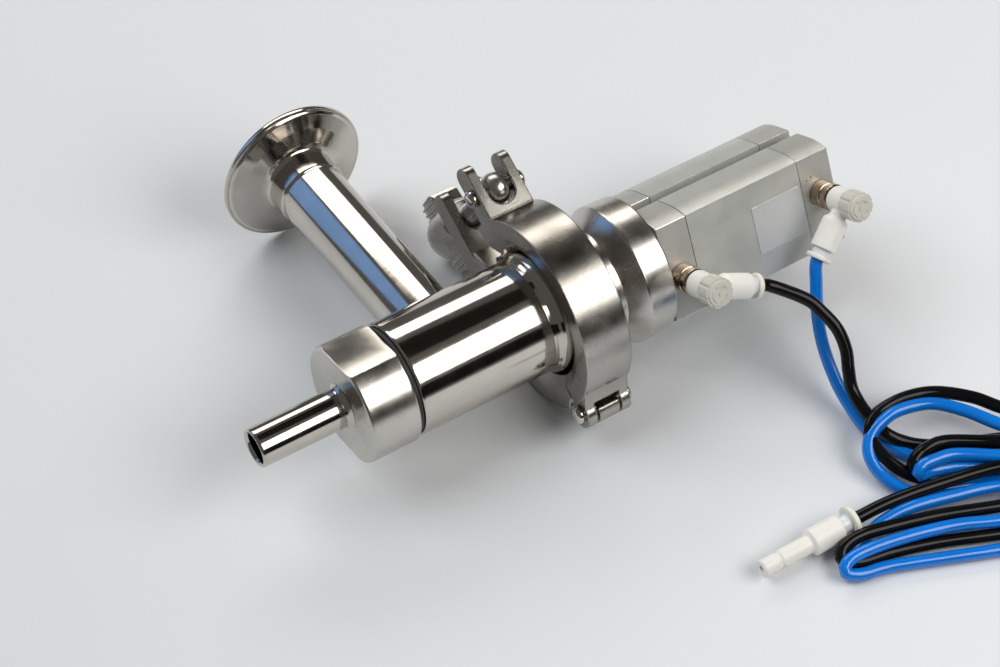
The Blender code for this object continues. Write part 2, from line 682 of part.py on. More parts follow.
def fitting(side, port, angle):
    """A screwed nipple, a swivelling elbow with its end cap, and the collar that releases the tube."""
    base = CYL_HALF + 0.1
    nipple = [
        (12.0, 1.1), (12.0, 2.2), (12.3, 2.4), (base, 2.4), (base, 4.2), (base + 0.3, 4.5),
        (base + 4.2, 4.5), (base + 4.6, 4.1), (base + 5.1, 4.1), (base + 5.5, 4.5), (base + 7.6, 4.5),
        (base + 8.0, 4.1), (base + 8.0, 2.1), (33.0, 2.1), (33.0, 1.1),
    ]
    turned(f"{side}_nipple", nipple, "nickel_brass", 18, frame=port_frame(port))
    hub_start = base + 8.3
    elbow = turned(f"{side}_elbow", [(hub_start, 2.4), (hub_start, 4.1), (hub_start + 0.3, 4.35),
                                     (33.1, 4.35), (33.1, 2.4)], "white_plastic", 18,
                   frame=port_frame(port))
    into = (WORLD @ port_frame(port)).inverted() @ WORLD @ socket_frame(port, angle)
    arm = [(3.2, 0.0), (3.2, 2.75), (5.4, 2.75), (6.4, 4.0), (7.2, 4.2), (16.2, 4.2), (16.5, 3.9), (16.5, 0.0)]
    boolean(elbow, turned_mesh(arm, 18, closed=False), "UNION", into)
    boolean(elbow, cylinder_mesh(1.2, 1.0, 8.0, segments=12), "DIFFERENCE", into)
    boolean(elbow, cylinder_mesh(2.45, 6.8, 18.0, segments=18), "DIFFERENCE", into)
    boolean(elbow, cylinder_mesh(3.15, 11.4, 18.0, segments=18), "DIFFERENCE", into)
    turned(f"{side}_elbow_cap", [(33.4, 0.0), (33.4, 4.5), (33.8, 4.9), (38.9, 4.9), (39.6, 4.2),
                                 (39.6, 0.0)], "grey_plastic", 18, closed=False,
           frame=port_frame(port))
    collar = [
        (12.7, 2.4), (12.7, 2.7), (13.0, 2.9), (18.7, 2.9), (18.7, 3.9), (19.0, 4.15),
        (19.8, 4.15), (20.2, 3.8), (20.2, 2.6), (20.0, 2.4),
    ]
    turned(f"{side}_release_collar", collar, "white_plastic", 18, frame=socket_frame(port, angle))


# ---------------------------------------------------------------- tubing

def smooth_route(points, step=7.0):
    """Points at even steps along a smooth curve through the given ones."""
    path = [Vector(p) for p in points]
    ends = [path[0] * 2 - path[1]] + path + [path[-1] * 2 - path[-2]]
    dense = []
    for a, b, c, d in zip(ends, ends[1:], ends[2:], ends[3:]):
        for i in range(24):
            t = i / 24
            dense.append(0.5 * (2 * b + (c - a) * t + (2 * a - 5 * b + 4 * c - d) * t ** 2
                                + (3 * b - a - 3 * c + d) * t ** 3))
    dense.append(path[-1])
    route = [dense[0]]
    for point in dense[1:]:
        if (point - route[-1]).length >= step:
            route.append(point)
    route[-1] = dense[-1]
    return route


def hose_run(name, points, slot):
    """A stretch of tubing through points given in the floor frame, relative to the main axis."""
    curve = bpy.data.curves.new(name, "CURVE")
    curve.dimensions = "3D"
    curve.bevel_depth = HOSE_R * MM
    curve.bevel_resolution = 2
    curve.render_resolution_u = 0
    curve.use_fill_caps = True
    route = smooth_route(points)
    spline = curve.splines.new("POLY")
    spline.points.add(len(route) - 1)
    shift = Vector((-CENTRE_X, -CENTRE_Y, AXIS_HEIGHT))
    for knot, point in zip(spline.points, route):
        knot.co = (*((point + shift) * MM), 1.0)
    curve.materials.append(material(slot))
    obj = bpy.data.objects.new(name, curve)
    bpy.data.collections["pneumatic_valve"].objects.link(obj)
    return obj


def exit_point(port, angle, distance):
    """A point on a socket's axis, in the floor frame relative to the main axis."""
    place = Matrix.Rotation(ROLL, 4, "X") @ socket_frame(port, angle)
    return place @ Vector((distance, 0, 0))


def stadium(start, end, radius, steps=10):
    """A round-ended outline about the line from start to end."""
    a = Vector(start)
    b = Vector(end)
    heading = math.atan2(b.y - a.y, b.x - a.x)
    points = []
    for centre, first in ((b, -90), (a, 90)):
        for i in range(steps + 1):
            angle = heading + math.radians(first + 180 * i / steps)
            points.append((centre.x + radius * math.cos(angle), centre.y + radius * math.sin(angle)))
    return points


def hank(name, start, end, outer, inner, height, slot):
    """Folds of tubing lying together: a flat round-ended ring on the floor."""
    bm = bmesh.new()
    base = -AXIS_HEIGHT + 0.1
    rings = []
    for radius, z in ((outer, base), (outer, base + height), (inner, base + height), (inner, base)):
        rings.append([bm.verts.new((x, y, z)) for x, y in stadium(start, end, radius)])
    count = len(rings[0])
    for ring, following in zip(rings, rings[1:] + rings[:1]):
        for i in range(count):
            j = (i + 1) % count
            bm.faces.new((ring[i], ring[j], following[j], following[i]))
    frame = Matrix.Rotation(-ROLL, 4, "X")
    return add(name, bm, slot, frame)


def tubing():
    """Both tubes: the stretches that lie open, and the folds of each hank."""
    blue_exit = [exit_point(REAR_PORT, REAR_SOCKET, d) for d in (7.0, 21.0, 24.5)]
    black_exit = [exit_point(FRONT_PORT, FRONT_SOCKET, d) for d in (7.0, 21.0, 25.0)]
    hose_run("blue_tube", [*blue_exit, (42.8, -37.5, -3.5), (42.0, -43.6, -12.0), (40.3, -50.5, -19.0),
                           (39.3, -59.0, -25.0), (38.6, -67.0, -28.6), (38.2, -73.0, -30.0)], "blue_hose")
    hose_run("black_tube", [*black_exit, (36.7, -41.1, 0.8), (41.5, -49.5, -3.5), (43.6, -56.5, -10.0),
                            (43.3, -62.5, -16.5), (42.6, -68.5, -22.0), (43.2, -73.4, -25.5)], "black_hose")
    upper = ((44.5, -90.0), (118.0, -114.0))
    lower = ((11.0, -118.5), (108.0, -150.0))
    hank("black_tube_upper_folds", *upper, 12.0, 8.0, 8.6, "black_hose")
    hank("blue_tube_upper_folds", *upper, 7.7, 3.5, 8.6, "blue_hose")
    hank("blue_tube_lower_folds", *lower, 8.6, 4.6, 8.6, "blue_hose")
    hank("black_tube_lower_folds", *lower, 4.3, 0.8, 8.6, "black_hose")
    hose_run("black_tube_tail", [(6.5, -102.9, -26.8), (14.0, -103.3, -26.4), (27.0, -105.2, -25.5),
                                 (42.0, -109.0, -25.0), (60.0, -114.5, -25.0), (76.0, -120.0, -25.0)],
             "black_hose")


def plug_in_connector():
    """The plug on the black tube's end: a stem for another fitting, a body and a release collar."""
    shift = (WORLD.inverted() @ Matrix.Translation((-CENTRE_X, -CENTRE_Y, AXIS_HEIGHT))).to_3x3().to_4x4()
    frame = shift @ axis_frame((-4.6, -102.8, -27.2), (1.0, -0.02, 0.03))
    body = [
        (-18.2, 1.2), (-18.2, 2.6), (-17.8, 2.95), (-12.6, 2.95), (-12.3, 2.7), (-11.6, 2.7),
        (-11.3, 3.05), (-0.6, 3.05), (0.0, 4.1), (0.5, 4.45), (11.6, 4.45), (12.0, 4.1), (12.0, 3.2),
        (7.5, 3.2), (7.5, 1.2),
    ]
    turned("plug_body", body, "white_plastic", 18, frame=frame)
    collar = [
        (8.4, 2.4), (8.4, 2.9), (14.6, 2.9), (14.6, 4.9), (14.9, 5.15), (16.0, 5.15), (16.3, 4.8),
        (16.3, 2.4),
    ]
    turned("plug_collar", collar, "white_plastic", 18, frame=frame)


def main():
    clear_scene()
    for name in ("pneumatic_valve", "cutters"):
        made = bpy.data.collections.new(name)
        bpy.context.scene.collection.children.link(made)
    nozzle_tube()
    end_cap()
    end_cap_seal()
    valve_body_tube()
    body_ferrule()
    clamp_gasket()
    branch_pipe()
    branch_ferrule()
    clamp_half_front()
    clamp_half_rear()
    pin("clamp_hinge_pin", polar(HINGE_R, HINGE_ANGLE))
    pin("eye_bolt_pin", clamp_point(*PIVOT))
    eye_bolt()
    wing_nut()
    cylinder_adapter()
    stem_pieces()
    cylinder_front_cap()
    cylinder_barrel()
    cylinder_rear_cap()
    cylinder_inside()
    cylinder_screws()
    rating_label()
    fitting("front", FRONT_PORT, FRONT_SOCKET)
    fitting("rear", REAR_PORT, REAR_SOCKET)
    tubing()
    plug_in_connector()


main()
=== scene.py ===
"""Pneumatic actuated valve: the detailed look of every piece, its two air tubes, and a plain studio.

Piece sizes are millimetres in the valve's own frame: X along the main axis towards the cylinder's rear,
X = 0 on the cylinder's front face, its port face square to -Y, angles about X from +Y towards +Z.
"""

import math

import bmesh
import bpy
from mathutils import Matrix, Vector


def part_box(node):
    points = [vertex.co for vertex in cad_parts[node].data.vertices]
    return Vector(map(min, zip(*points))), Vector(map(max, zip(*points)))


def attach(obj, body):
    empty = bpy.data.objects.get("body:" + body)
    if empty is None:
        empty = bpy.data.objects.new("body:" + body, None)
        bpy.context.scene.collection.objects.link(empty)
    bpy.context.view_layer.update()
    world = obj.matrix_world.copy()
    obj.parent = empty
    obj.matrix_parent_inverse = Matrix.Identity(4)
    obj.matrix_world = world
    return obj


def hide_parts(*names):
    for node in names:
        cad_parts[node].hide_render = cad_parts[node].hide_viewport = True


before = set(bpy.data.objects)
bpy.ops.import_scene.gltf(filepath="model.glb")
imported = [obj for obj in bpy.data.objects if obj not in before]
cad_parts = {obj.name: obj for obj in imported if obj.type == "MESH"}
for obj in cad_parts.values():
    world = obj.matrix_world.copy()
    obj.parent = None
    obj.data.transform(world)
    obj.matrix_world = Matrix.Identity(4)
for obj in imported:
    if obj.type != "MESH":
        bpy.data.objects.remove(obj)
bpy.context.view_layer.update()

MM = 0.001
SCALE = Matrix.Scale(MM, 4)
ROLL = math.radians(-29.45)
NOZZLE_TIP = -140.2
CLAMP_X = -32.75
CLAMP_HALF = 8.25
CLAMP_R = 32.2
BAND_INNER_R = 20.5
HOLE_REACH = 14
HINGE_R = 35.0
HINGE_ANGLE = math.radians(-119)
LUG_R = 5.0
KNUCKLE_HALF = 3.7
HINGE_WINDOW = 1.0
MOUTH_R = 26.0
BOLT_ANGLE = math.radians(-33)
EAR_ANGLE = BOLT_ANGLE + math.pi / 2
PIVOT = (-4.15, 40.0)
EAR_THICK = 8.5
EAR_TOP = 50.2
REAR_EAR = 23.3
SLOT_HALF = 4.8
PIN_R = 2.3
WING_HALF = 4.8
BODY_R = 18.9
BRANCH_X = -69.9
BRANCH_ANGLE = math.radians(25.2)
CYL_HALF = 17.75
CYL_EDGE = 16.25
FRONT_SEAM = 11.4
REAR_SEAM = 54.8
CYL_LENGTH = 67.0
CYL_BORE_R = 10.0
END_POCKET_R = 8.3
ROD_HOLE_R = 5.5
PORT_HOLE_R = 2.6
SEAM_GAP = 0.1
SCREW_OFFSET = 11.0
SCREW_HOLE_R = 2.3
SOCKET_Y = -30.5
FRONT_PORT = (5.5, -2.6)
REAR_PORT = (61.6, 2.3)
FRONT_SOCKET = math.radians(-24)
REAR_SOCKET = math.radians(-135)
TUBE_DIAMETER = 4.2

nozzle_low, nozzle_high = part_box("nozzle_tube")
AXIS = Vector((nozzle_low.x - NOZZLE_TIP * MM, (nozzle_low.y + nozzle_high.y) / 2,
               (nozzle_low.z + nozzle_high.z) / 2))
WORLD = Matrix.Translation(AXIS) @ Matrix.Rotation(ROLL, 4, "X")


def add_to_scene(obj):
    bpy.context.scene.collection.objects.link(obj)


# ---------------------------------------------------------------- camera

def camera():
    lens = bpy.data.cameras.new("camera")
    lens.lens = 97.2
    lens.sensor_width = 36.0
    lens.clip_start = 0.05
    lens.clip_end = 20.0
    eye = bpy.data.objects.new("camera", lens)
    right = Vector((0.8360, -0.5478, 0.0317)).normalized()
    back = Vector((-0.3661, -0.5139, 0.7758)).normalized()
    up = back.cross(right).normalized()
    right = up.cross(back)
    eye.matrix_world = Matrix((right, up, back)).transposed().to_4x4()
    eye.matrix_world.translation = AXIS + Vector((-0.36063, -0.43344, 0.65193))
    add_to_scene(eye)
    bpy.context.scene.camera = eye


# ---------------------------------------------------------------- materials

def new_material(name, colour, metallic, roughness):
    made = bpy.data.materials.new(name)
    made.use_nodes = True
    shader = made.node_tree.nodes["Principled BSDF"]
    shader.inputs["Base Color"].default_value = (*colour, 1.0)
    shader.inputs["Metallic"].default_value = metallic
    shader.inputs["Roughness"].default_value = roughness
    return made, made.node_tree, shader


def texture_space(tree, stretch):
    place = tree.nodes.new("ShaderNodeTexCoord")
    mapping = tree.nodes.new("ShaderNodeMapping")
    mapping.inputs["Scale"].default_value = stretch
    tree.links.new(place.outputs["Object"], mapping.inputs["Vector"])
    return mapping.outputs["Vector"]


def noise(tree, scale, detail=2.0, stretch=(1.0, 1.0, 1.0)):
    made = tree.nodes.new("ShaderNodeTexNoise")
    made.inputs["Scale"].default_value = scale
    made.inputs["Detail"].default_value = detail
    tree.links.new(texture_space(tree, stretch), made.inputs["Vector"])
    return made.outputs["Fac"]


def turning_lines(tree, scale, kind):
    """Fine tool lines: rings about the X axis on a faced surface, or bands along it."""
    made = tree.nodes.new("ShaderNodeTexWave")
    made.wave_type = kind
    if kind == "RINGS":
        made.rings_direction = "X"
    else:
        made.bands_direction = "X"
    made.inputs["Scale"].default_value = scale
    made.inputs["Distortion"].default_value = 1.5
    made.inputs["Detail"].default_value = 2.0
    tree.links.new(texture_space(tree, (1.0, 1.0, 1.0)), made.inputs["Vector"])
    return made.outputs["Fac"]


def spread(tree, factor, low, high):
    made = tree.nodes.new("ShaderNodeMapRange")
    made.inputs["From Min"].default_value = 0.3
    made.inputs["From Max"].default_value = 0.7
    made.inputs["To Min"].default_value = low
    made.inputs["To Max"].default_value = high
    tree.links.new(factor, made.inputs["Value"])
    return made.outputs["Result"]


def tint(tree, shader, factor, first, second):
    made = tree.nodes.new("ShaderNodeMix")
    made.data_type = "RGBA"
    made.inputs["A"].default_value = (*first, 1.0)
    made.inputs["B"].default_value = (*second, 1.0)
    tree.links.new(spread(tree, factor, 0.0, 1.0), made.inputs["Factor"])
    tree.links.new(made.outputs["Result"], shader.inputs["Base Color"])


def bump(tree, shader, height, strength, depth):
    made = tree.nodes.new("ShaderNodeBump")
    made.inputs["Strength"].default_value = strength
    made.inputs["Distance"].default_value = depth
    tree.links.new(height, made.inputs["Height"])
    tree.links.new(made.outputs["Normal"], shader.inputs["Normal"])


def round_edges(tree, shader, radius):
    """Edges shaded as if broken to a small radius, under any surface relief."""
    made = tree.nodes.new("ShaderNodeBevel")
    made.samples = 8
    made.inputs["Radius"].default_value = radius
    normal = shader.inputs["Normal"]
    under = normal.links[0].from_node.inputs["Normal"] if normal.is_linked else normal
    tree.links.new(made.outputs["Normal"], under)


def metal(name, first, second, smooth, rough, height=None, strength=0.1, depth=0.0001, metallic=1.0):
    """A bare metal whose colour and roughness drift slightly, with an optional surface relief."""
    made, tree, shader = new_material(name, first, metallic, rough)
    tint(tree, shader, noise(tree, 70.0, 3.0), first, second)
    tree.links.new(spread(tree, noise(tree, 160.0, 4.0), smooth, rough), shader.inputs["Roughness"])
    if height:
        bump(tree, shader, height(tree), strength, depth)
    return made


def polished_steel():
    return metal("polished_steel", (0.54, 0.505, 0.455), (0.60, 0.565, 0.515), 0.07, 0.13,
                 lambda tree: noise(tree, 60.0, 2.0, (30.0, 1.0, 1.0)), 0.06, 0.0001)


def turned_steel():
    return metal("turned_steel", (0.52, 0.495, 0.455), (0.60, 0.575, 0.535), 0.20, 0.30,
                 lambda tree: turning_lines(tree, 900.0, "RINGS"), 0.10, 0.00006)


def milled_steel():
    return metal("milled_steel", (0.50, 0.48, 0.445), (0.58, 0.56, 0.525), 0.16, 0.24,
                 lambda tree: turning_lines(tree, 700.0, "BANDS"), 0.14, 0.00006)


def edge_steel():
    return metal("edge_steel", (0.60, 0.575, 0.53), (0.67, 0.645, 0.60), 0.09, 0.16)


def cast_steel():
    made = metal("cast_steel", (0.36, 0.342, 0.312), (0.44, 0.42, 0.388), 0.19, 0.29,
                 lambda tree: noise(tree, 2600.0, 3.0), 0.26, 0.00010)
    round_edges(made.node_tree, made.node_tree.nodes["Principled BSDF"], 0.0008)
    return made


def satin_steel():
    return metal("satin_steel", (0.47, 0.45, 0.415), (0.56, 0.54, 0.505), 0.20, 0.32,
                 lambda tree: noise(tree, 900.0, 2.0), 0.15, 0.00008)


def stem_steel():
    return metal("stem_steel", (0.64, 0.63, 0.61), (0.69, 0.68, 0.66), 0.14, 0.22,
                 lambda tree: turning_lines(tree, 800.0, "BANDS"), 0.05, 0.00004)


def anodised_aluminium():
    return metal("anodised_aluminium", (0.56, 0.57, 0.535), (0.62, 0.63, 0.595), 0.34, 0.44,
                 lambda tree: noise(tree, 2200.0, 2.0), 0.12, 0.00006, 0.6)


def blasted_aluminium():
    return metal("blasted_aluminium", (0.50, 0.495, 0.455), (0.59, 0.585, 0.545), 0.34, 0.46,
                 lambda tree: noise(tree, 1600.0, 4.0), 0.40, 0.00012, 0.65)


def edge_aluminium():
    return metal("edge_aluminium", (0.82, 0.825, 0.82), (0.88, 0.885, 0.88), 0.24, 0.34)


def nickel_brass():
    return metal("nickel_brass", (0.40, 0.295, 0.215), (0.48, 0.37, 0.285), 0.12, 0.22,
                 lambda tree: turning_lines(tree, 900.0, "BANDS"), 0.06, 0.00005)


def plain(name, first, second, smooth, rough, grain, relief=0.08, soft=0.0):
    """A plastic or rubber with a faint mottle and a fine moulded grain."""
    made, tree, shader = new_material(name, first, 0.0, rough)
    tint(tree, shader, noise(tree, 90.0, 3.0), first, second)
    tree.links.new(spread(tree, noise(tree, 220.0, 3.0), smooth, rough), shader.inputs["Roughness"])
    bump(tree, shader, noise(tree, grain, 2.0), relief, 0.0001)
    if soft:
        shader.inputs["Subsurface Weight"].default_value = soft
        shader.inputs["Subsurface Radius"].default_value = (0.002, 0.002, 0.0015)
        shader.inputs["Subsurface Scale"].default_value = 1.0
    return made


def white_plastic():
    return plain("white_plastic", (0.80, 0.79, 0.745), (0.84, 0.83, 0.79), 0.36, 0.46, 900.0, 0.06, 0.15)


def grey_plastic():
    return plain("grey_plastic", (0.56, 0.545, 0.485), (0.62, 0.605, 0.545), 0.40, 0.52, 900.0, 0.10)


def milky_plastic():
    return plain("milky_plastic", (0.66, 0.71, 0.75), (0.76, 0.79, 0.80), 0.20, 0.30, 500.0, 0.04, 0.4)


def cream_plastic():
    return plain("cream_plastic", (0.76, 0.75, 0.66), (0.81, 0.80, 0.72), 0.36, 0.46, 900.0, 0.06, 0.15)


def black_rubber():
    return plain("black_rubber", (0.018, 0.018, 0.019), (0.03, 0.03, 0.031), 0.45, 0.65, 1200.0, 0.2)


def bearing_plastic():
    return plain("bearing_plastic", (0.14, 0.12, 0.10), (0.18, 0.16, 0.14), 0.45, 0.55, 900.0)


def magnet_black():
    return plain("magnet_black", (0.05, 0.05, 0.055), (0.07, 0.07, 0.075), 0.4, 0.55, 1500.0)


def label_film():
    return metal("label_film", (0.62, 0.64, 0.645), (0.67, 0.685, 0.69), 0.34, 0.42,
                 lambda tree: noise(tree, 400.0, 1.0), 0.03, 0.00005, 0.45)


def blue_hose():
    made = plain("blue_hose", (0.001, 0.155, 0.60), (0.002, 0.18, 0.68), 0.12, 0.18, 60.0, 0.03)
    made.node_tree.nodes["Principled BSDF"].inputs["Coat Weight"].default_value = 0.3
    return made


def black_hose():
    made = plain("black_hose", (0.003, 0.003, 0.0035), (0.006, 0.006, 0.0065), 0.06, 0.11, 60.0, 0.03)
    made.node_tree.nodes["Principled BSDF"].inputs["Specular IOR Level"].default_value = 0.2
    return made


MATERIALS = {make.__name__: make() for make in (
    polished_steel, turned_steel, milled_steel, edge_steel, cast_steel, satin_steel, stem_steel,
    anodised_aluminium, blasted_aluminium, edge_aluminium, nickel_brass, white_plastic, grey_plastic,
    milky_plastic, cream_plastic, black_rubber, bearing_plastic, magnet_black, label_film, blue_hose,
    black_hose)}


# ---------------------------------------------------------------- mesh helpers

def axis_frame(origin, along, up=Vector((0, 0, 1))):
    """A frame at origin with its X along the given direction and its Z near up."""
    x = Vector(along).normalized()
    y = up.cross(x).normalized()
    z = x.cross(y)
    made = Matrix((x, y, z)).transposed().to_4x4()
    made.translation = Vector(origin)
    return made


def supported(profile, closed):
    """The profile with a point close to each end of its longer lines, so that edges stay crisp."""
    near = 0.15
    points = []
    ends = profile[1:] + (profile[:1] if closed else [])
    for (x0, r0), (x1, r1) in zip(profile, ends):
        points.append((x0, r0))
        length = math.hypot(x1 - x0, r1 - r0)
        if length > 1.0:
            for share in (near / length, 1 - near / length):
                points.append((x0 + (x1 - x0) * share, r0 + (r1 - r0) * share))
    if not closed:
        points.append(profile[-1])
    return points


def turned(profile, segments=96, closed=True):
    """A turned shape about X from (x, r) points: a closed ring section, or open with ends on the axis."""
    profile = supported(profile, closed)
    bm = bmesh.new()
    verts = [bm.verts.new((x, 0.0, r)) for x, r in profile]
    edges = [bm.edges.new(pair) for pair in zip(verts, verts[1:])]
    if closed:
        edges.append(bm.edges.new((verts[-1], verts[0])))
    bmesh.ops.spin(bm, geom=verts + edges, cent=(0, 0, 0), axis=(1, 0, 0), dvec=(0, 0, 0),
                   angle=2 * math.pi, steps=segments, use_merge=True, use_duplicate=False)
    bmesh.ops.remove_doubles(bm, verts=bm.verts, dist=0.0005)
    bmesh.ops.recalc_face_normals(bm, faces=bm.faces)
    return bm


def loft(near, far):
    """A closed body between two outlines with the same number of points."""
    bm = bmesh.new()
    first = [bm.verts.new(point) for point in near]
    last = [bm.verts.new(point) for point in far]
    bm.faces.new(first)
    bm.faces.new(last)
    count = len(first)
    for i in range(count):
        j = (i + 1) % count
        bm.faces.new((first[i], first[j], last[j], last[i]))
    bmesh.ops.recalc_face_normals(bm, faces=bm.faces)
    return bm


def prism(outline, x0, x1):
    return loft([(x0, y, z) for y, z in outline], [(x1, y, z) for y, z in outline])


def rod(radius, x0, x1, y=0.0, z=0.0, segments=48):
    turns = [2 * math.pi * (i + 0.5) / segments for i in range(segments)]
    return prism([(y + radius * math.cos(a), z + radius * math.sin(a)) for a in turns], x0, x1)


def polar(radius, angle):
    return radius * math.cos(angle), radius * math.sin(angle)


def clamp_point(bolt, ear):
    """A (y, z) point from distances along the bolt's direction and along the ears' direction."""
    by, bz = polar(bolt, BOLT_ANGLE)
    ey, ez = polar(ear, EAR_ANGLE)
    return by + ey, bz + ez


def rounded_box(x0, y0, x1, y1, radius, steps=8):
    """A rectangle outline with rounded corners."""
    centres = ((x1 - radius, y0 + radius, -90), (x1 - radius, y1 - radius, 0),
               (x0 + radius, y1 - radius, 90), (x0 + radius, y0 + radius, 180))
    points = []
    for cx, cy, start in centres:
        for i in range(steps + 1):
            angle = math.radians(start + 90 * i / steps)
            points.append((cx + radius * math.cos(angle), cy + radius * math.sin(angle)))
    return points


def scratch(bm, names):
    mesh = bpy.data.meshes.new("scratch")
    bm.to_mesh(mesh)
    for name in names:
        mesh.materials.append(MATERIALS[name])
    obj = bpy.data.objects.new("scratch", mesh)
    add_to_scene(obj)
    return obj


def combine(bm, tool, operation, place=None, names=("cast_steel",), tool_names=None):
    """The boolean of two bodies as a new one; cut faces take the tool's material index."""
    if place is not None:
        bmesh.ops.transform(tool, matrix=place, verts=tool.verts)
    bmesh.ops.recalc_face_normals(tool, faces=tool.faces)
    body = scratch(bm, names)
    cutter = scratch(tool, names)
    step = body.modifiers.new("step", "BOOLEAN")
    step.operation = operation
    step.solver = "EXACT"
    step.material_mode = "INDEX"
    step.object = cutter
    graph = bpy.context.evaluated_depsgraph_get()
    mesh = bpy.data.meshes.new_from_object(body.evaluated_get(graph))
    made = bmesh.new()
    made.from_mesh(mesh)
    bmesh.ops.remove_doubles(made, verts=made.verts, dist=0.002)
    bmesh.ops.dissolve_degenerate(made, edges=made.edges, dist=0.001)
    bm.free()
    tool.free()
    for obj in (body, cutter):
        used = obj.data
        bpy.data.objects.remove(obj)
        bpy.data.meshes.remove(used)
    bpy.data.meshes.remove(mesh)
    return made


def join(bm, other, place=None):
    """Add another body's surface to this one."""
    if place is not None:
        bmesh.ops.transform(other, matrix=place, verts=other.verts)
    mesh = bpy.data.meshes.new("scratch")
    other.to_mesh(mesh)
    bm.from_mesh(mesh)
    other.free()
    bpy.data.meshes.remove(mesh)
    return bm


def paint(bm, index):
    for face in bm.faces:
        face.material_index = index
    return bm


def piece(name, bm, names, place, nodes, body, bevel=0.0, edge=None, angle=32.0):
    """One visible piece that stands for the CAD nodes, riding on their body."""
    bmesh.ops.transform(bm, matrix=SCALE, verts=bm.verts)
    mesh = bpy.data.meshes.new(name)
    bm.to_mesh(mesh)
    bm.free()
    for shown in names:
        mesh.materials.append(MATERIALS[shown])
    for face in mesh.polygons:
        face.use_smooth = True
    mesh.set_sharp_from_angle(angle=math.radians(angle))
    obj = bpy.data.objects.new(f"detailed_{name}", mesh)
    add_to_scene(obj)
    local = (place or Matrix.Identity(4)).copy()
    local.translation = local.translation * MM
    obj.matrix_world = WORLD @ local
    if bevel:
        rounding = obj.modifiers.new("rounding", "BEVEL")
        rounding.width = bevel * MM
        rounding.segments = 3
        rounding.limit_method = "ANGLE"
        rounding.angle_limit = math.radians(angle)
        rounding.harden_normals = True
        if edge is not None:
            rounding.material = edge
    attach(obj, body)
    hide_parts(*nodes)
    return obj


# ---------------------------------------------------------------- tube body, nozzle and branch

def nozzle_tube():
    profile = [
        (-139.0, 5.0), (-139.7, 5.15), (-140.1, 5.5), (-140.2, 5.8), (-140.15, 6.1), (-139.9, 6.35),
        (-139.4, 6.5), (-111.3, 6.5), (-110.8, 6.6), (-110.3, 6.9), (-109.9, 7.3), (-109.5, 7.7),
        (-109.3, 7.6), (-95.0, 6.5), (-95.0, 5.0),
    ]
    piece("nozzle", turned(profile, 128), ["polished_steel"], None, ["nozzle_tube"], "valve_body")


def end_cap():
    profile = [
        (-109.4, 6.8), (-109.4, 18.5), (-109.1, 19.2), (-108.5, 19.5), (-93.4, 19.5), (-92.9, 19.3),
        (-92.7, 18.9), (-92.7, 17.1), (-85.0, 17.1), (-85.0, 9.0), (-89.0, 5.0), (-94.7, 5.0),
        (-94.7, 6.8),
    ]
    names = ["turned_steel", "milled_steel", "edge_steel"]
    cap = turned(profile, 144)
    for side in (0, math.pi):
        flat = paint(prism(rounded_box(17.3, -15, 30, 15, 0.5, 1), -110.4, -92.6), 1)
        cap = combine(cap, flat, "DIFFERENCE", Matrix.Rotation(math.radians(107) + side, 4, "X"), names)
    piece("end_cap", cap, names, None, ["end_cap"], "valve_body", 0.22, 2)
    seal = [(-92.5, 17.4), (-92.5, 18.2), (-92.2, 18.4), (-91.5, 18.4), (-91.2, 18.2), (-91.2, 17.4)]
    piece("end_cap_seal", turned(seal, 96), ["black_rubber"], None, ["end_cap_seal"], "valve_body")


def branch_frame():
    """The branch's frame: its X runs out along the branch from the main axis."""
    return axis_frame((BRANCH_X, 0, 0), (0, *polar(1.0, BRANCH_ANGLE)), Vector((1, 0, 0)))


def valve_body_tube():
    profile = [
        (-90.9, 17.4), (-91.0, 17.7), (-91.0, 18.3), (-90.85, 18.65), (-90.5, 18.85), (-90.0, 18.9),
        (-45.0, 18.9), (-43.6, 18.95), (-42.4, 19.15), (-41.4, 19.55), (-40.6, 20.0), (-40.6, 17.4),
    ]
    names = ["polished_steel"]
    tube = combine(turned(profile, 192), rod(9.9, 5.0, 25.0, segments=96), "DIFFERENCE",
                   branch_frame(), names)
    piece("valve_body_tube", tube, names, None, ["valve_body_tube"], "valve_body")
    ferrule = [
        (-40.6, 17.4), (-40.6, 20.0), (-39.6, 20.35), (-38.4, 20.6), (-37.05, 21.0), (-35.7, 23.9),
        (-35.5, 24.7), (-35.3, 25.1), (-35.0, 25.25), (-34.1, 25.25), (-33.85, 25.0), (-33.85, 17.4),
    ]
    piece("body_ferrule", turned(ferrule, 160), names, None, ["body_ferrule"], "valve_body")


def branch_pipe():
    names = ["polished_steel"]
    pipe = turned([(8.0, 9.9), (8.0, 11.3), (83.4, 11.3), (83.4, 9.9)], 144)
    body = rod(BODY_R, -60, 60, segments=192)
    place = branch_frame().inverted() @ Matrix.Translation((BRANCH_X, 0, 0))
    pipe = combine(pipe, body, "DIFFERENCE", place, names)
    piece("branch_pipe", pipe, names, branch_frame(), ["branch_pipe"], "valve_body")


def branch_ferrule():
    profile = [
        (83.4, 9.9), (83.4, 11.35), (83.7, 11.4), (83.9, 11.6), (84.15, 11.8), (84.5, 11.85),
        (91.3, 11.9), (91.9, 12.15), (92.4, 12.6), (92.9, 13.6), (93.2, 14.5), (94.5, 19.0),
        (96.0, 23.5), (96.45, 24.0), (96.7, 24.3), (96.75, 24.9), (96.95, 25.2), (97.3, 25.25),
        (98.1, 25.25), (98.4, 25.1), (98.5, 24.8), (98.5, 23.0), (98.2, 22.85), (97.7, 22.5),
        (97.6, 21.8), (97.7, 21.1), (98.2, 20.75), (98.5, 20.6), (98.5, 10.2), (98.2, 9.9),
    ]
    piece("branch_ferrule", turned(profile, 192), ["polished_steel"], branch_frame(),
          ["branch_ferrule"], "valve_body")


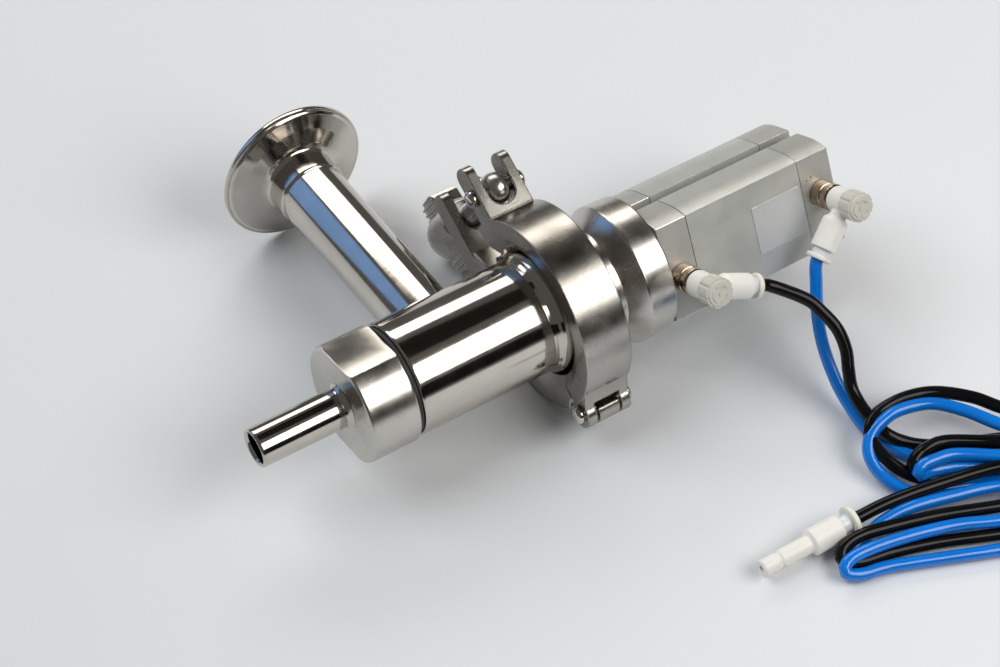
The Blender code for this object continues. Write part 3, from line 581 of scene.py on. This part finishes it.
def cylinder_adapter():
    profile = [
        (-31.65, 9.4), (-31.65, 25.05), (-31.4, 25.25), (-30.5, 25.25), (-30.15, 25.1), (-30.0, 24.8),
        (-29.8, 24.0), (-28.45, 21.0), (-27.05, 20.4), (-26.1, 19.3), (-25.25, 18.65), (-24.6, 18.35),
        (-16.1, 18.3), (-15.9, 18.4), (-10.6, 23.2), (-10.3, 23.4), (-9.9, 23.45), (-0.9, 23.2),
        (-0.5, 23.0), (-0.3, 22.6), (-0.3, 5.6), (-16.5, 5.6), (-16.5, 9.4),
    ]
    piece("cylinder_adapter", turned(profile, 192), ["turned_steel"], None, ["cylinder_adapter"],
          "valve_body")


# ---------------------------------------------------------------- clamp

def arc_band(start, end, inner, outer, half, steps):
    """A square-section arc of the clamp band."""
    section = [(-half, inner), (-half, outer), (half, outer), (half, inner)]
    bm = bmesh.new()
    rings = []
    for i in range(steps + 1):
        angle = start + (end - start) * i / steps
        rings.append([bm.verts.new((CLAMP_X + x, *polar(r, angle))) for x, r in section])
    count = len(section)
    for ring, following in zip(rings, rings[1:]):
        for i in range(count):
            j = (i + 1) % count
            bm.faces.new((ring[i], ring[j], following[j], following[i]))
    bm.faces.new(rings[0])
    bm.faces.new(rings[-1])
    bmesh.ops.recalc_face_normals(bm, faces=bm.faces)
    return bm


def groove():
    """The space the clamp band leaves round the two flanges: a wide V with lips and bevelled mouths."""
    half = [(12, 31.6), (CLAMP_HALF, MOUTH_R), (6.0, 21.9), (5.2, 21.9), (3.4, 26.2)]
    sides = [(-x, r) for x, r in half] + [(x, r) for x, r in reversed(half)]
    profile = [(-12, 0.0)] + sides + [(12, 0.0)]
    return turned([(CLAMP_X + x, r) for x, r in profile], 144, closed=False)


def ear(near, foot):
    outline = rounded_box(near, foot, near + EAR_THICK, EAR_TOP, 3.4)
    reach = CLAMP_HALF - 0.2
    return prism([clamp_point(b, e) for b, e in outline], CLAMP_X - reach, CLAMP_X + reach)


def hinge_lug(side, x0, x1):
    """A round hinge lug with a web into the band."""
    hinge = Vector(polar(HINGE_R, HINGE_ANGLE))
    turns = [-75 + 165 * i / 16 for i in range(17)]
    ring = [hinge + Vector(polar(LUG_R, HINGE_ANGLE + side * math.radians(a))) for a in turns]
    root = [Vector(polar(r, HINGE_ANGLE + side * math.radians(a))) for r, a in ((31.0, 24), (27.5, 4))]
    return prism([(p.x, p.y) for p in ring + root], x0, x1)


def ear_slot():
    """The U slot across both pairs of ears, open at their tips."""
    bottom = PIVOT[1] - 1.4
    turns = [math.pi + math.pi * i / 24 for i in range(25)]
    outline = [(CLAMP_X + SLOT_HALF * math.cos(a), bottom + SLOT_HALF * math.sin(a)) for a in turns]
    outline += [(CLAMP_X + SLOT_HALF, EAR_TOP + 5), (CLAMP_X - SLOT_HALF, EAR_TOP + 5)]
    return loft([(x, *clamp_point(-20.0, e)) for x, e in outline],
                [(x, *clamp_point(45.0, e)) for x, e in outline])


def clamp_halves():
    names = ["cast_steel", "edge_steel"]
    hinge = polar(HINGE_R, HINGE_ANGLE)
    pivot = clamp_point(*PIVOT)
    hole = PIN_R + 0.15
    window = KNUCKLE_HALF + HINGE_WINDOW
    front_end = HINGE_ANGLE + 2 * math.pi - 0.012
    front = arc_band(math.radians(50), front_end, BAND_INNER_R, CLAMP_R, CLAMP_HALF, 90)
    rear = arc_band(HINGE_ANGLE + 0.02, math.radians(25), BAND_INNER_R, CLAMP_R, CLAMP_HALF, 70)
    lug = CLAMP_HALF - 0.3
    front = combine(front, ear(PIVOT[0] - EAR_THICK / 2, 24.0), "UNION")
    front = combine(front, hinge_lug(-1, CLAMP_X - lug, CLAMP_X + lug), "UNION")
    front = combine(front, groove(), "DIFFERENCE")
    front = combine(front, ear_slot(), "DIFFERENCE")
    opening = rod(LUG_R + HINGE_WINDOW + 0.3, CLAMP_X - window, CLAMP_X + window, *hinge)
    front = combine(front, opening, "DIFFERENCE")
    front = combine(front, rod(hole, CLAMP_X - HOLE_REACH, CLAMP_X + HOLE_REACH, *hinge), "DIFFERENCE")
    front = combine(front, rod(hole, CLAMP_X - HOLE_REACH, CLAMP_X + HOLE_REACH, *pivot), "DIFFERENCE")
    rear = combine(rear, ear(PIVOT[0] + REAR_EAR, 13.0), "UNION")
    for x0, x1 in ((-9.0, -KNUCKLE_HALF), (KNUCKLE_HALF, 9.0)):
        rear = combine(rear, rod(LUG_R + 0.6, CLAMP_X + x0, CLAMP_X + x1, *hinge), "DIFFERENCE")
    rear = combine(rear, hinge_lug(1, CLAMP_X - KNUCKLE_HALF, CLAMP_X + KNUCKLE_HALF), "UNION")
    rear = combine(rear, groove(), "DIFFERENCE")
    rear = combine(rear, ear_slot(), "DIFFERENCE")
    rear = combine(rear, rod(hole, CLAMP_X - HOLE_REACH, CLAMP_X + HOLE_REACH, *hinge), "DIFFERENCE")
    piece("clamp_half_front", front, names, None, ["clamp_half_front"], "clamp_front_half",
          0.7, 1)
    piece("clamp_half_rear", rear, names, None, ["clamp_half_rear"], "valve_body", 0.7, 1)


def pins():
    head = [(8.45, 2.3), (8.5, 2.95), (9.0, 2.95), (9.6, 2.7), (10.1, 2.15), (10.4, 1.3), (10.5, 0.0)]
    profile = [(-x, r) for x, r in reversed(head)] + head
    for name, centre, body in (("clamp_hinge_pin", polar(HINGE_R, HINGE_ANGLE), "valve_body"),
                               ("eye_bolt_pin", clamp_point(*PIVOT), "clamp_front_half")):
        piece(name, turned(profile, 48, closed=False), ["edge_steel"],
              Matrix.Translation((CLAMP_X, *centre)), [name], body)


def bolt_frame():
    return axis_frame((CLAMP_X, *clamp_point(*PIVOT)), (0, *polar(1.0, BOLT_ANGLE)), Vector((1, 0, 0)))


def thread(start, end, outer, depth, pitch, around=32, per_turn=8):
    """A helical thread about X, closed at both ends, with a run-out at the start and a chamfer at the end."""
    bm = bmesh.new()
    count = int((end - start) / pitch * per_turn)
    rings = []
    for i in range(count + 1):
        x = start + (end - start) * i / count
        fade = min(1.0, (x - start) / pitch)
        chamfer = max(0.0, x - end + depth)
        ring = []
        for j in range(around):
            angle = 2 * math.pi * j / around
            wave = 0.5 - 0.5 * math.cos(2 * math.pi * x / pitch - angle)
            radius = outer - depth * fade * wave
            ring.append(bm.verts.new((x, *polar(min(radius, outer - chamfer), angle))))
        rings.append(ring)
    for ring, following in zip(rings, rings[1:]):
        for j in range(around):
            k = (j + 1) % around
            bm.faces.new((ring[j], ring[k], following[k], following[j]))
    bm.faces.new(rings[0])
    bm.faces.new(rings[-1])
    bmesh.ops.recalc_face_normals(bm, faces=bm.faces)
    return bm


def eye_bolt():
    names = ["satin_steel"]
    across = Matrix.Rotation(math.radians(-90), 4, "Y")
    ball = []
    for i in range(15):
        x = -3.8 + 3.8 * i / 14
        ball.append((x, 1.6 + math.sqrt(3.8 ** 2 - (0.94 * x) ** 2)))
    head = turned([(-3.8, 0.0)] + ball + [(-x, r) for x, r in reversed(ball[:-1])] + [(3.8, 0.0)], 64,
                  closed=False)
    shank = turned([(1.0, 0.0), (1.0, 3.9), (8.6, 3.9), (9.0, 3.5), (9.0, 0.0)], 48, closed=False)
    bolt = combine(shank, head, "UNION", across, names)
    bolt = combine(bolt, rod(PIN_R + 0.1, -8, 8), "DIFFERENCE", across, names)
    bolt = join(bolt, thread(8.2, 54.6, 3.9, 0.62, 1.25))
    piece("eye_bolt", bolt, names, bolt_frame(), ["eye_bolt"], "eye_bolt")


def wing_nut():
    names = ["satin_steel", "edge_steel"]
    start = REAR_EAR + EAR_THICK + 0.3
    end = start + 24.9
    profile = [
        (end - 1.6, 0.0), (end - 1.6, 4.05), (start, 4.05), (start, 6.3), (start + 0.3, 6.9),
        (start + 2.0, 8.0), (start + 8.0, 8.8), (start + 15.0, 8.9), (start + 19.0, 8.4),
        (end - 3.6, 7.4), (end - 1.8, 6.2), (end - 0.7, 4.8), (end - 0.1, 3.0), (end, 1.6), (end, 0.0),
    ]
    nut = turned(profile, 72, closed=False)
    for side in (1, -1):
        wing = [(start + 5.5, side * 4.0), (start + 7.0, side * 12.0), (start + 7.6, side * 13.1),
                (start + 8.8, side * 13.5), (start + 17.2, side * 13.1), (start + 18.8, side * 12.3),
                (start + 19.8, side * 11.0), (start + 19.4, side * 4.0)]
        plate = loft([(s, e, -WING_HALF) for s, e in wing], [(s, e, WING_HALF) for s, e in wing])
        nut = combine(nut, plate, "UNION", None, names)
        for across in (8.2, 10.2, 12.2):
            for face in (-WING_HALF, WING_HALF):
                flute = rod(0.7, start + 7.0, start + 21.0, side * across, face, 16)
                nut = combine(nut, flute, "DIFFERENCE", None, names)
    piece("wing_nut", nut, names, bolt_frame(), ["wing_nut"], "wing_nut", 0.4, 1)


# ---------------------------------------------------------------- compact cylinder

def cylinder_outline():
    """The cylinder's section: flat sides, crowned top and bottom, a sensor slot on three sides."""
    slot_half = 2.45
    bottom = CYL_HALF - 3.8
    points = []
    for turn in (1, -1):
        crown = []
        for i in range(13):
            share = i / 12
            drop = (CYL_HALF - CYL_EDGE) * (1 - share) ** 2
            crown.append((-CYL_HALF + 8.5 * share, CYL_HALF - drop))
        side = crown + [(-slot_half, CYL_HALF), (-slot_half, bottom)]
        side += [(slot_half, bottom), (slot_half, CYL_HALF)]
        side += [(-y, z) for y, z in reversed(crown)]
        if turn == 1:
            points += side + [(CYL_HALF, slot_half), (bottom, slot_half), (bottom, -slot_half),
                              (CYL_HALF, -slot_half)]
        else:
            points += [(y, -z) for y, z in reversed(side)]
    return points


def screw_places():
    return [(y, z) for y in (-SCREW_OFFSET, SCREW_OFFSET) for z in (-SCREW_OFFSET, SCREW_OFFSET)]


def port_frame(port):
    """A fitting's frame: X runs out of the port along -Y, Z along the cylinder's +Z."""
    x, z = port
    return axis_frame((x, 0, z), (0, -1, 0))


def cylinder():
    names = ["blasted_aluminium", "edge_aluminium", "black_rubber"]
    front = prism(cylinder_outline(), 0.0, FRONT_SEAM - SEAM_GAP)
    barrel = prism(cylinder_outline(), FRONT_SEAM + SEAM_GAP, REAR_SEAM - SEAM_GAP)
    rear = prism(cylinder_outline(), REAR_SEAM + SEAM_GAP, CYL_LENGTH)
    front = combine(front, rod(ROD_HOLE_R, -1.0, 3.0), "DIFFERENCE", None, names)
    front = combine(front, rod(END_POCKET_R, 1.5, FRONT_SEAM + 1), "DIFFERENCE", None, names)
    bore = rod(CYL_BORE_R, FRONT_SEAM - 1, REAR_SEAM + 1, segments=96)
    barrel = combine(barrel, bore, "DIFFERENCE", None, names)
    rear = combine(rear, rod(END_POCKET_R, REAR_SEAM - 1, CYL_LENGTH - 2.6), "DIFFERENCE", None, names)
    for y, z in screw_places():
        front = combine(front, rod(SCREW_HOLE_R, -1, FRONT_SEAM + 1, y, z, 24), "DIFFERENCE", None, names)
        hole = rod(SCREW_HOLE_R, FRONT_SEAM - 1, REAR_SEAM + 1, y, z, 24)
        barrel = combine(barrel, hole, "DIFFERENCE", None, names)
        hole = rod(SCREW_HOLE_R, REAR_SEAM - 1, CYL_LENGTH - 3, y, z, 24)
        rear = combine(rear, hole, "DIFFERENCE", None, names)
        rear = combine(rear, rod(3.7, CYL_LENGTH - 4.2, CYL_LENGTH + 1, y, z), "DIFFERENCE", None, names)
    front = combine(front, rod(PORT_HOLE_R, 9.0, CYL_HALF + 2), "DIFFERENCE", port_frame(FRONT_PORT), names)
    rear = combine(rear, rod(PORT_HOLE_R, 9.0, CYL_HALF + 2), "DIFFERENCE", port_frame(REAR_PORT), names)
    # Two tiny dimples on the rear cap. Their insides take the near-black rubber finish as painted shade, for
    # the dark of these small holes.
    for x, z in ((57.2, 8.4), (58.9, 9.0)):
        shade_painted_dimple = paint(rod(0.3, CYL_HALF - 0.4, CYL_HALF + 1, segments=16), 2)
        rear = combine(rear, shade_painted_dimple, "DIFFERENCE", port_frame((x, z)), names)
    piece("cylinder_front_cap", front, names, None, ["cylinder_front_cap"], "valve_body",
          0.22, 1)
    piece("cylinder_barrel", barrel, ["anodised_aluminium", "edge_aluminium"], None, ["cylinder_barrel"],
          "valve_body", 0.22, 1)
    piece("cylinder_rear_cap", rear, names, None, ["cylinder_rear_cap"], "valve_body",
          0.22, 1)


def cylinder_screws():
    """Four long socket head screws from the rear cap into the adapter."""
    head = CYL_LENGTH - 3.9
    names = ["satin_steel"]
    for number, (y, z) in enumerate(screw_places()):
        profile = [(-7.5, 0.0), (-7.5, 1.6), (-7.1, 2.0), (head, 2.0), (head, 3.3), (head + 3.2, 3.3),
                   (head + 3.5, 3.2), (head + 3.6, 2.9), (head + 3.6, 0.0)]
        screw = turned(profile, 48, closed=False)
        screw = combine(screw, rod(1.75, head + 1.6, head + 5, segments=6), "DIFFERENCE", None, names)
        name = f"cylinder_screw_{number + 1}"
        piece(name, screw, names, Matrix.Translation((0, y, z)), [name], "valve_body")


def rating_label():
    """A blank film label on the port face."""
    outline = rounded_box(35.0, -8.2, 54.0, 8.2, 0.6)
    film = loft([(x, -CYL_HALF - 0.04, z) for x, z in outline], [(x, -CYL_HALF - 0.2, z) for x, z in outline])
    piece("rating_label", film, ["label_film", "edge_aluminium"], None, ["rating_label"], "valve_body",
          0.05, 1)


# ---------------------------------------------------------------- air fittings

def socket_frame(port, angle):
    """The socket's frame: X runs out of the elbow along its tube."""
    x, z = port
    return axis_frame((x, SOCKET_Y, z), (math.cos(angle), 0, math.sin(angle)), Vector((0, 1, 0)))


def elbow_cap():
    """A round grey cap with eight grip grooves and three raised arcs on its face."""
    outline = []
    for i in range(160):
        angle = 2 * math.pi * i / 160
        groove_depth = 0.42 * max(0.0, math.cos(8 * angle)) ** 5
        outline.append(polar(4.9 - groove_depth, angle))
    cap = prism(outline, 33.4, 38.7)
    face = [(38.0, 0.0), (38.0, 4.3), (39.0, 4.25), (39.3, 4.0), (39.4, 3.6), (39.4, 0.0)]
    cap = combine(cap, turned(face, 64, closed=False), "UNION")
    for start, sweep in ((20, 95), (140, 95), (260, 70)):
        turns = [math.radians(start + sweep * i / 14) for i in range(15)]
        arc = [polar(3.1, a) for a in turns] + [polar(2.4, a) for a in reversed(turns)]
        cap = combine(cap, prism(arc, 39.0, 39.75), "UNION")
    return combine(cap, rod(0.8, 39.0, 39.7, segments=24), "UNION")


def fitting(side, port, angle, body):
    base = CYL_HALF + 0.1
    nipple = [
        (12.0, 1.1), (12.0, 2.2), (12.3, 2.4), (base, 2.4), (base, 4.1), (base + 0.15, 4.35),
        (base + 0.45, 4.5), (base + 4.1, 4.5), (base + 4.35, 4.4), (base + 4.5, 4.1), (base + 5.0, 4.05),
        (base + 5.2, 4.35), (base + 5.4, 4.5), (base + 7.3, 4.5), (base + 7.7, 4.4), (base + 8.0, 4.1),
        (base + 8.0, 2.1), (33.0, 2.1), (33.0, 1.1),
    ]
    piece(f"{side}_nipple", turned(nipple, 72), ["nickel_brass"], port_frame(port), [f"{side}_nipple"],
          "valve_body")
    hub = turned([(base + 8.3, 2.4), (base + 8.3, 4.0), (base + 8.5, 4.25), (base + 8.9, 4.35),
                  (32.8, 4.35), (33.1, 4.2), (33.1, 2.4)], 72)
    into = port_frame(port).inverted() @ socket_frame(port, angle)
    arm = [(3.2, 0.0), (3.2, 2.75), (5.2, 2.8), (5.7, 3.1), (6.2, 3.75), (6.7, 4.1), (7.4, 4.2),
           (15.9, 4.2), (16.3, 4.1), (16.5, 3.8), (16.5, 0.0)]
    names = ["white_plastic"]
    elbow = combine(hub, turned(arm, 72, closed=False), "UNION", into, names)
    elbow = combine(elbow, rod(1.2, 1.0, 8.0), "DIFFERENCE", into, names)
    elbow = combine(elbow, rod(2.3, 6.8, 18.0), "DIFFERENCE", into, names)
    elbow = combine(elbow, rod(3.15, 11.4, 18.0), "DIFFERENCE", into, names)
    piece(f"{side}_elbow", elbow, names, port_frame(port), [f"{side}_elbow"], "valve_body",
          0.3)
    piece(f"{side}_elbow_cap", elbow_cap(), ["grey_plastic"], port_frame(port), [f"{side}_elbow_cap"],
          "valve_body", 0.15)
    sleeve = turned([(12.7, 2.3), (12.7, 2.7), (13.0, 2.9), (18.8, 2.9), (18.8, 2.3)], 64)
    flange = turned([(18.6, 2.3), (18.6, 3.7), (18.75, 4.0), (19.1, 4.15), (19.7, 4.15), (20.05, 4.0),
                     (20.2, 3.7), (20.2, 2.7), (20.0, 2.35)], 64)
    collar = join(paint(sleeve, 0), paint(flange, 1))
    piece(f"{side}_release_collar", collar, ["milky_plastic", "cream_plastic"], socket_frame(port, angle),
          [f"{side}_release_collar"], body)


# ---------------------------------------------------------------- tubing

def plug_frame():
    """The plug lies along the floor on the black tube's end; X points towards the tube."""
    level = Matrix.Rotation(-ROLL, 4, "X")
    return level @ axis_frame((-4.6, -102.8, -27.2), (1.0, -0.02, 0.03))


def plug():
    body = [
        (-18.2, 1.2), (-18.2, 2.5), (-18.0, 2.8), (-17.7, 2.95), (-12.7, 2.95), (-12.4, 2.75),
        (-11.9, 2.55), (-11.5, 2.75), (-11.2, 3.05), (-0.7, 3.05), (-0.3, 3.4), (0.0, 4.0),
        (0.3, 4.35), (0.7, 4.45), (10.4, 4.45), (10.8, 4.3), (11.0, 4.0), (11.0, 3.0), (7.5, 3.0),
        (7.5, 1.2),
    ]
    sleeve = turned([(8.4, 2.2), (8.4, 2.9), (14.8, 2.9), (14.8, 2.2)], 64)
    flange = turned([(14.6, 2.2), (14.6, 4.7), (14.75, 5.0), (15.1, 5.15), (15.8, 5.15), (16.15, 5.0),
                     (16.3, 4.7), (16.3, 2.6), (16.1, 2.3)], 72)
    collar = join(paint(sleeve, 0), paint(flange, 1))
    first = piece("plug_body", turned(body, 72), ["white_plastic"], plug_frame(), ["plug_body"],
                  "valve_body")
    second = piece("plug_collar", collar, ["milky_plastic", "cream_plastic"], plug_frame(),
                   ["plug_collar"], "valve_body")
    return first, second


def floor_point(x, y, height):
    """A point from its place along and across from the main axis and its height above the floor."""
    return Vector((AXIS.x + x * MM, AXIS.y + y * MM, height * MM))


def smooth_route(points, step=0.0015):
    """Points at even steps along a smooth curve through the given ones."""
    ends = [points[0] * 2 - points[1]] + points + [points[-1] * 2 - points[-2]]
    dense = []
    for a, b, c, d in zip(ends, ends[1:], ends[2:], ends[3:]):
        for i in range(24):
            t = i / 24
            dense.append(0.5 * (2 * b + (c - a) * t + (2 * a - 5 * b + 4 * c - d) * t ** 2
                                + (3 * b - a - 3 * c + d) * t ** 3))
    dense.append(points[-1])
    route = [dense[0]]
    for point in dense[1:]:
        if (point - route[-1]).length >= step:
            route.append(point)
    route[-1] = dense[-1]
    return route


def hose(name, points, material, nodes):
    curve = bpy.data.curves.new(name, "CURVE")
    curve.dimensions = "3D"
    curve.bevel_depth = TUBE_DIAMETER / 2 * MM
    curve.bevel_resolution = 6
    curve.use_fill_caps = True
    route = smooth_route(points)
    spline = curve.splines.new("POLY")
    spline.points.add(len(route) - 1)
    for knot, point in zip(spline.points, route):
        knot.co = (*point, 1.0)
    spline.use_smooth = True
    curve.materials.append(MATERIALS[material])
    obj = bpy.data.objects.new(f"detailed_{name}", curve)
    add_to_scene(obj)
    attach(obj, "valve_body")
    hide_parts(*nodes)
    return obj


BLUE_ROUTE = [
    (44.6, -36.4, 31.5), (42.8, -40.2, 25.5), (41.7, -43.8, 20.0), (40.5, -48.7, 15.0), (39.7, -55.1, 10.0),
    (39.0, -62.9, 6.0), (38.8, -74.1, 3.0), (40.5, -81.5, 2.2), (44.5, -91.6, 2.2), (52.0, -98.0, 2.2),
    (70.0, -106.5, 2.2), (90.0, -114.5, 2.2), (104.0, -121.0, 2.2), (111.0, -129.0, 2.2),
    (111.5, -139.0, 2.2), (105.0, -147.0, 2.2), (93.0, -149.5, 2.2), (78.0, -145.5, 2.2),
    (62.0, -140.0, 2.2), (45.4, -134.4, 2.2), (27.2, -127.0, 2.2), (11.9, -121.0, 2.2),
    (3.6, -119.2, 2.4), (-1.2, -117.0, 3.8), (0.4, -114.8, 5.6), (7.5, -114.6, 6.2), (21.4, -117.1, 6.2),
    (37.2, -121.8, 6.2), (50.1, -127.7, 6.2), (68.0, -134.5, 6.4), (86.0, -140.5, 6.4),
    (95.5, -140.5, 6.0), (101.0, -134.0, 4.5), (98.0, -127.5, 2.6), (86.0, -122.5, 2.2),
    (62.0, -114.0, 2.2), (46.0, -107.5, 2.2), (36.8, -103.7, 2.2), (33.0, -99.3, 3.0), (30.6, -93.0, 4.5),
    (30.6, -87.0, 7.0), (34.0, -82.6, 9.2), (40.0, -80.3, 10.0), (48.0, -79.5, 10.0), (58.2, -82.7, 10.0),
    (65.5, -90.4, 10.0), (71.7, -100.8, 10.0), (80.0, -112.0, 10.0), (92.0, -120.0, 9.6),
    (103.0, -125.0, 8.4), (110.0, -132.0, 7.0), (106.5, -139.5, 6.2), (97.0, -136.0, 8.2),
    (84.0, -124.5, 6.2), (64.0, -111.8, 5.9), (52.2, -104.4, 5.9), (44.0, -101.8, 6.2), (38.5, -101.6, 8.0),
    (40.5, -100.4, 10.0), (46.0, -100.9, 10.0), (52.2, -102.5, 10.0), (63.7, -110.4, 10.0),
    (78.0, -121.0, 10.0), (90.0, -128.5, 10.2), (96.5, -136.0, 10.4), (90.0, -141.5, 10.2),
    (78.0, -129.0, 7.6), (58.7, -117.6, 6.2), (44.4, -113.0, 6.2), (30.0, -109.2, 6.2), (21.0, -108.0, 4.8),
    (14.0, -108.5, 3.0), (9.0, -109.5, 2.2), (5.5, -110.6, 2.2),
]

BLACK_ROUTE = [
    (36.7, -41.1, 33.0), (39.6, -46.4, 30.0), (41.9, -52.0, 26.0), (42.1, -57.3, 21.0), (40.5, -61.6, 16.5),
    (39.3, -66.5, 11.5), (39.2, -75.3, 8.5), (41.5, -83.9, 6.0), (49.9, -90.5, 2.8), (62.0, -96.5, 2.2),
    (78.0, -103.5, 2.2), (94.0, -111.0, 2.2), (108.0, -119.0, 2.2), (116.5, -130.0, 3.5),
    (116.5, -142.5, 5.8), (109.0, -150.0, 6.4), (98.0, -148.0, 5.8), (84.0, -141.5, 2.4),
    (66.0, -136.0, 2.2), (49.2, -129.8, 2.2), (31.1, -122.2, 2.2), (17.0, -117.6, 2.3), (6.0, -115.5, 2.6),
    (0.5, -113.0, 4.0), (2.7, -109.9, 5.8), (10.0, -109.3, 6.2), (19.4, -111.4, 6.2), (35.2, -116.2, 6.2),
    (53.4, -123.4, 6.2), (70.0, -129.5, 6.4), (86.0, -134.5, 6.4), (94.5, -133.5, 6.0), (96.5, -128.5, 3.6),
    (90.0, -121.5, 2.2), (76.0, -115.0, 2.2), (60.0, -109.2, 2.4), (49.0, -105.0, 2.8), (41.5, -101.4, 3.6),
    (36.6, -95.8, 5.2), (34.0, -89.0, 7.4), (34.2, -82.3, 9.0), (38.0, -78.1, 10.0), (43.5, -76.3, 10.0),
    (53.1, -76.5, 10.0), (62.5, -79.9, 10.0), (71.2, -87.7, 10.0), (76.2, -95.5, 10.0),
    (85.0, -108.0, 10.2), (97.0, -116.5, 10.2), (108.0, -124.0, 11.5), (112.5, -133.0, 10.8),
    (104.5, -137.5, 11.6), (94.0, -128.0, 8.0), (82.0, -114.5, 6.2), (68.0, -106.5, 5.9), (53.3, -98.6, 5.9),
    (44.5, -97.2, 6.3), (38.8, -98.2, 8.0), (40.8, -96.9, 10.0), (46.5, -95.9, 10.0), (53.3, -97.1, 10.0),
    (67.5, -105.9, 10.0), (82.0, -115.5, 13.6), (94.0, -123.0, 13.8), (99.5, -130.5, 13.6),
    (93.0, -134.5, 13.2), (82.0, -123.0, 10.8), (61.6, -113.4, 9.6), (41.6, -107.8, 8.2), (24.5, -104.6, 7.4),
    (14.0, -103.5, 6.2),
]


def tubes(plug_pieces):
    blue_socket = socket_frame(REAR_PORT, REAR_SOCKET)
    black_socket = socket_frame(FRONT_PORT, FRONT_SOCKET)
    far = WORLD @ Matrix.Diagonal((MM, MM, MM, 1.0))
    blue = [far @ blue_socket @ Vector((d, 0, 0)) for d in (8.0, 14.5, 21.0)]
    blue += [floor_point(*point) for point in BLUE_ROUTE]
    black = [far @ black_socket @ Vector((d, 0, 0)) for d in (8.0, 14.5, 21.0, 25.0)]
    black += [floor_point(*point) for point in BLACK_ROUTE]
    black += [far @ plug_frame() @ Vector((d, 0, 0)) for d in (15.0, 8.5)]
    blue_tube = hose("blue_tube", blue, "blue_hose",
                     ["blue_tube", "blue_tube_upper_folds", "blue_tube_lower_folds"])
    black_tube = hose("black_tube", black, "black_hose",
                      ["black_tube", "black_tube_upper_folds", "black_tube_lower_folds", "black_tube_tail"])


# ---------------------------------------------------------------- studio

def hidden_nodes():
    """Procedural finishes on the pieces inside the valve, which keep their own shapes."""
    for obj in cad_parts.values():
        for index, used in enumerate(obj.data.materials):
            obj.data.materials[index] = MATERIALS[used.name.split(".")[0]]


def direction(azimuth, elevation):
    a = math.radians(azimuth)
    e = math.radians(elevation)
    return Vector((math.cos(e) * math.cos(a), math.cos(e) * math.sin(a), math.sin(e)))


def aim(obj, azimuth, elevation, distance):
    """Put obj that far from the valve's body and face it."""
    centre = AXIS + Vector((-0.04, -0.02, 0.0))
    way = direction(azimuth, elevation)
    obj.rotation_euler = way.to_track_quat("Z", "Y").to_euler()
    obj.location = centre + way * distance


def softbox(name, azimuth, elevation, distance, width, height, power, colour):
    data = bpy.data.lights.new(name, "AREA")
    data.shape = "RECTANGLE"
    data.size = width
    data.size_y = height
    data.energy = power
    data.color = colour
    light = bpy.data.objects.new(name, data)
    add_to_scene(light)
    aim(light, azimuth, elevation, distance)


def panel(name, segments, size, width, height):
    """A flat grid mesh, stretched by width and height."""
    bm = bmesh.new()
    bmesh.ops.create_grid(bm, x_segments=segments, y_segments=segments, size=size)
    bmesh.ops.transform(bm, matrix=Matrix.Diagonal((width, height, 1.0, 1.0)), verts=bm.verts)
    mesh = bpy.data.meshes.new(name)
    bm.to_mesh(mesh)
    bm.free()
    return mesh


def card(name, azimuth, elevation, distance, width, height, colour, strength):
    """A flat card that only shows in reflections."""
    mesh = panel(name, 8, 0.5, width, height)
    made, tree, shader = new_material(name, colour, 0.0, 1.0)
    tint(tree, shader, noise(tree, 2.0), colour, colour)
    shader.inputs["Specular IOR Level"].default_value = 0.0
    shader.inputs["Emission Color"].default_value = (*colour, 1.0)
    shader.inputs["Emission Strength"].default_value = strength
    mesh.materials.append(made)
    obj = bpy.data.objects.new(name, mesh)
    add_to_scene(obj)
    aim(obj, azimuth, elevation, distance)
    obj.visible_camera = False
    obj.visible_diffuse = False
    obj.visible_shadow = False


def floor():
    mesh = panel("floor", 40, 3.0, 1.0, 1.0)
    made, tree, shader = new_material("floor", (0.72, 0.745, 0.775), 0.0, 0.6)
    tint(tree, shader, noise(tree, 3.0, 3.0), (0.71, 0.735, 0.765), (0.73, 0.755, 0.785))
    mesh.materials.append(made)
    obj = bpy.data.objects.new("floor", mesh)
    add_to_scene(obj)
    obj.location.z = -0.0002


def fill_light(name, azimuth, elevation, strength, spread_angle, colour):
    """Broad daylight that reaches the floor and dull surfaces without showing in the steel."""
    data = bpy.data.lights.new(name, "SUN")
    data.energy = strength
    data.angle = math.radians(spread_angle)
    data.color = colour
    light = bpy.data.objects.new(name, data)
    add_to_scene(light)
    aim(light, azimuth, elevation, 2.0)
    light.visible_glossy = False


def studio():
    bpy.context.scene.view_settings.view_transform = "Standard"
    world = bpy.data.worlds.new("studio")
    world.use_nodes = True
    background = world.node_tree.nodes["Background"]
    background.inputs["Color"].default_value = (0.115, 0.112, 0.108, 1.0)
    background.inputs["Strength"].default_value = 1.0
    bpy.context.scene.world = world
    softbox("key", -55.0, 46.0, 1.0, 0.80, 0.55, 6.5, (1.0, 0.97, 0.93))
    softbox("back", 76.0, 38.0, 1.1, 0.90, 0.40, 3.6, (1.0, 0.95, 0.88))
    fill_light("window", 145.0, 52.0, 1.5, 40.0, (0.95, 0.98, 1.0))
    card("low_dark", -70.0, 13.0, 1.2, 2.2, 0.42, (0.012, 0.011, 0.010), 0.0)
    card("high_dark", 30.0, 72.0, 1.1, 0.60, 0.45, (0.02, 0.018, 0.016), 0.0)
    card("blue_window", 126.0, 22.0, 1.2, 0.55, 0.80, (0.19, 0.33, 0.62), 0.75)
    floor()


camera()
tubes(plug())
nozzle_tube()
end_cap()
valve_body_tube()
branch_pipe()
branch_ferrule()
cylinder_adapter()
clamp_halves()
pins()
eye_bolt()
wing_nut()
cylinder()
cylinder_screws()
rating_label()
fitting("front", FRONT_PORT, FRONT_SOCKET, "front_collar")
fitting("rear", REAR_PORT, REAR_SOCKET, "rear_collar")
hidden_nodes()
studio()
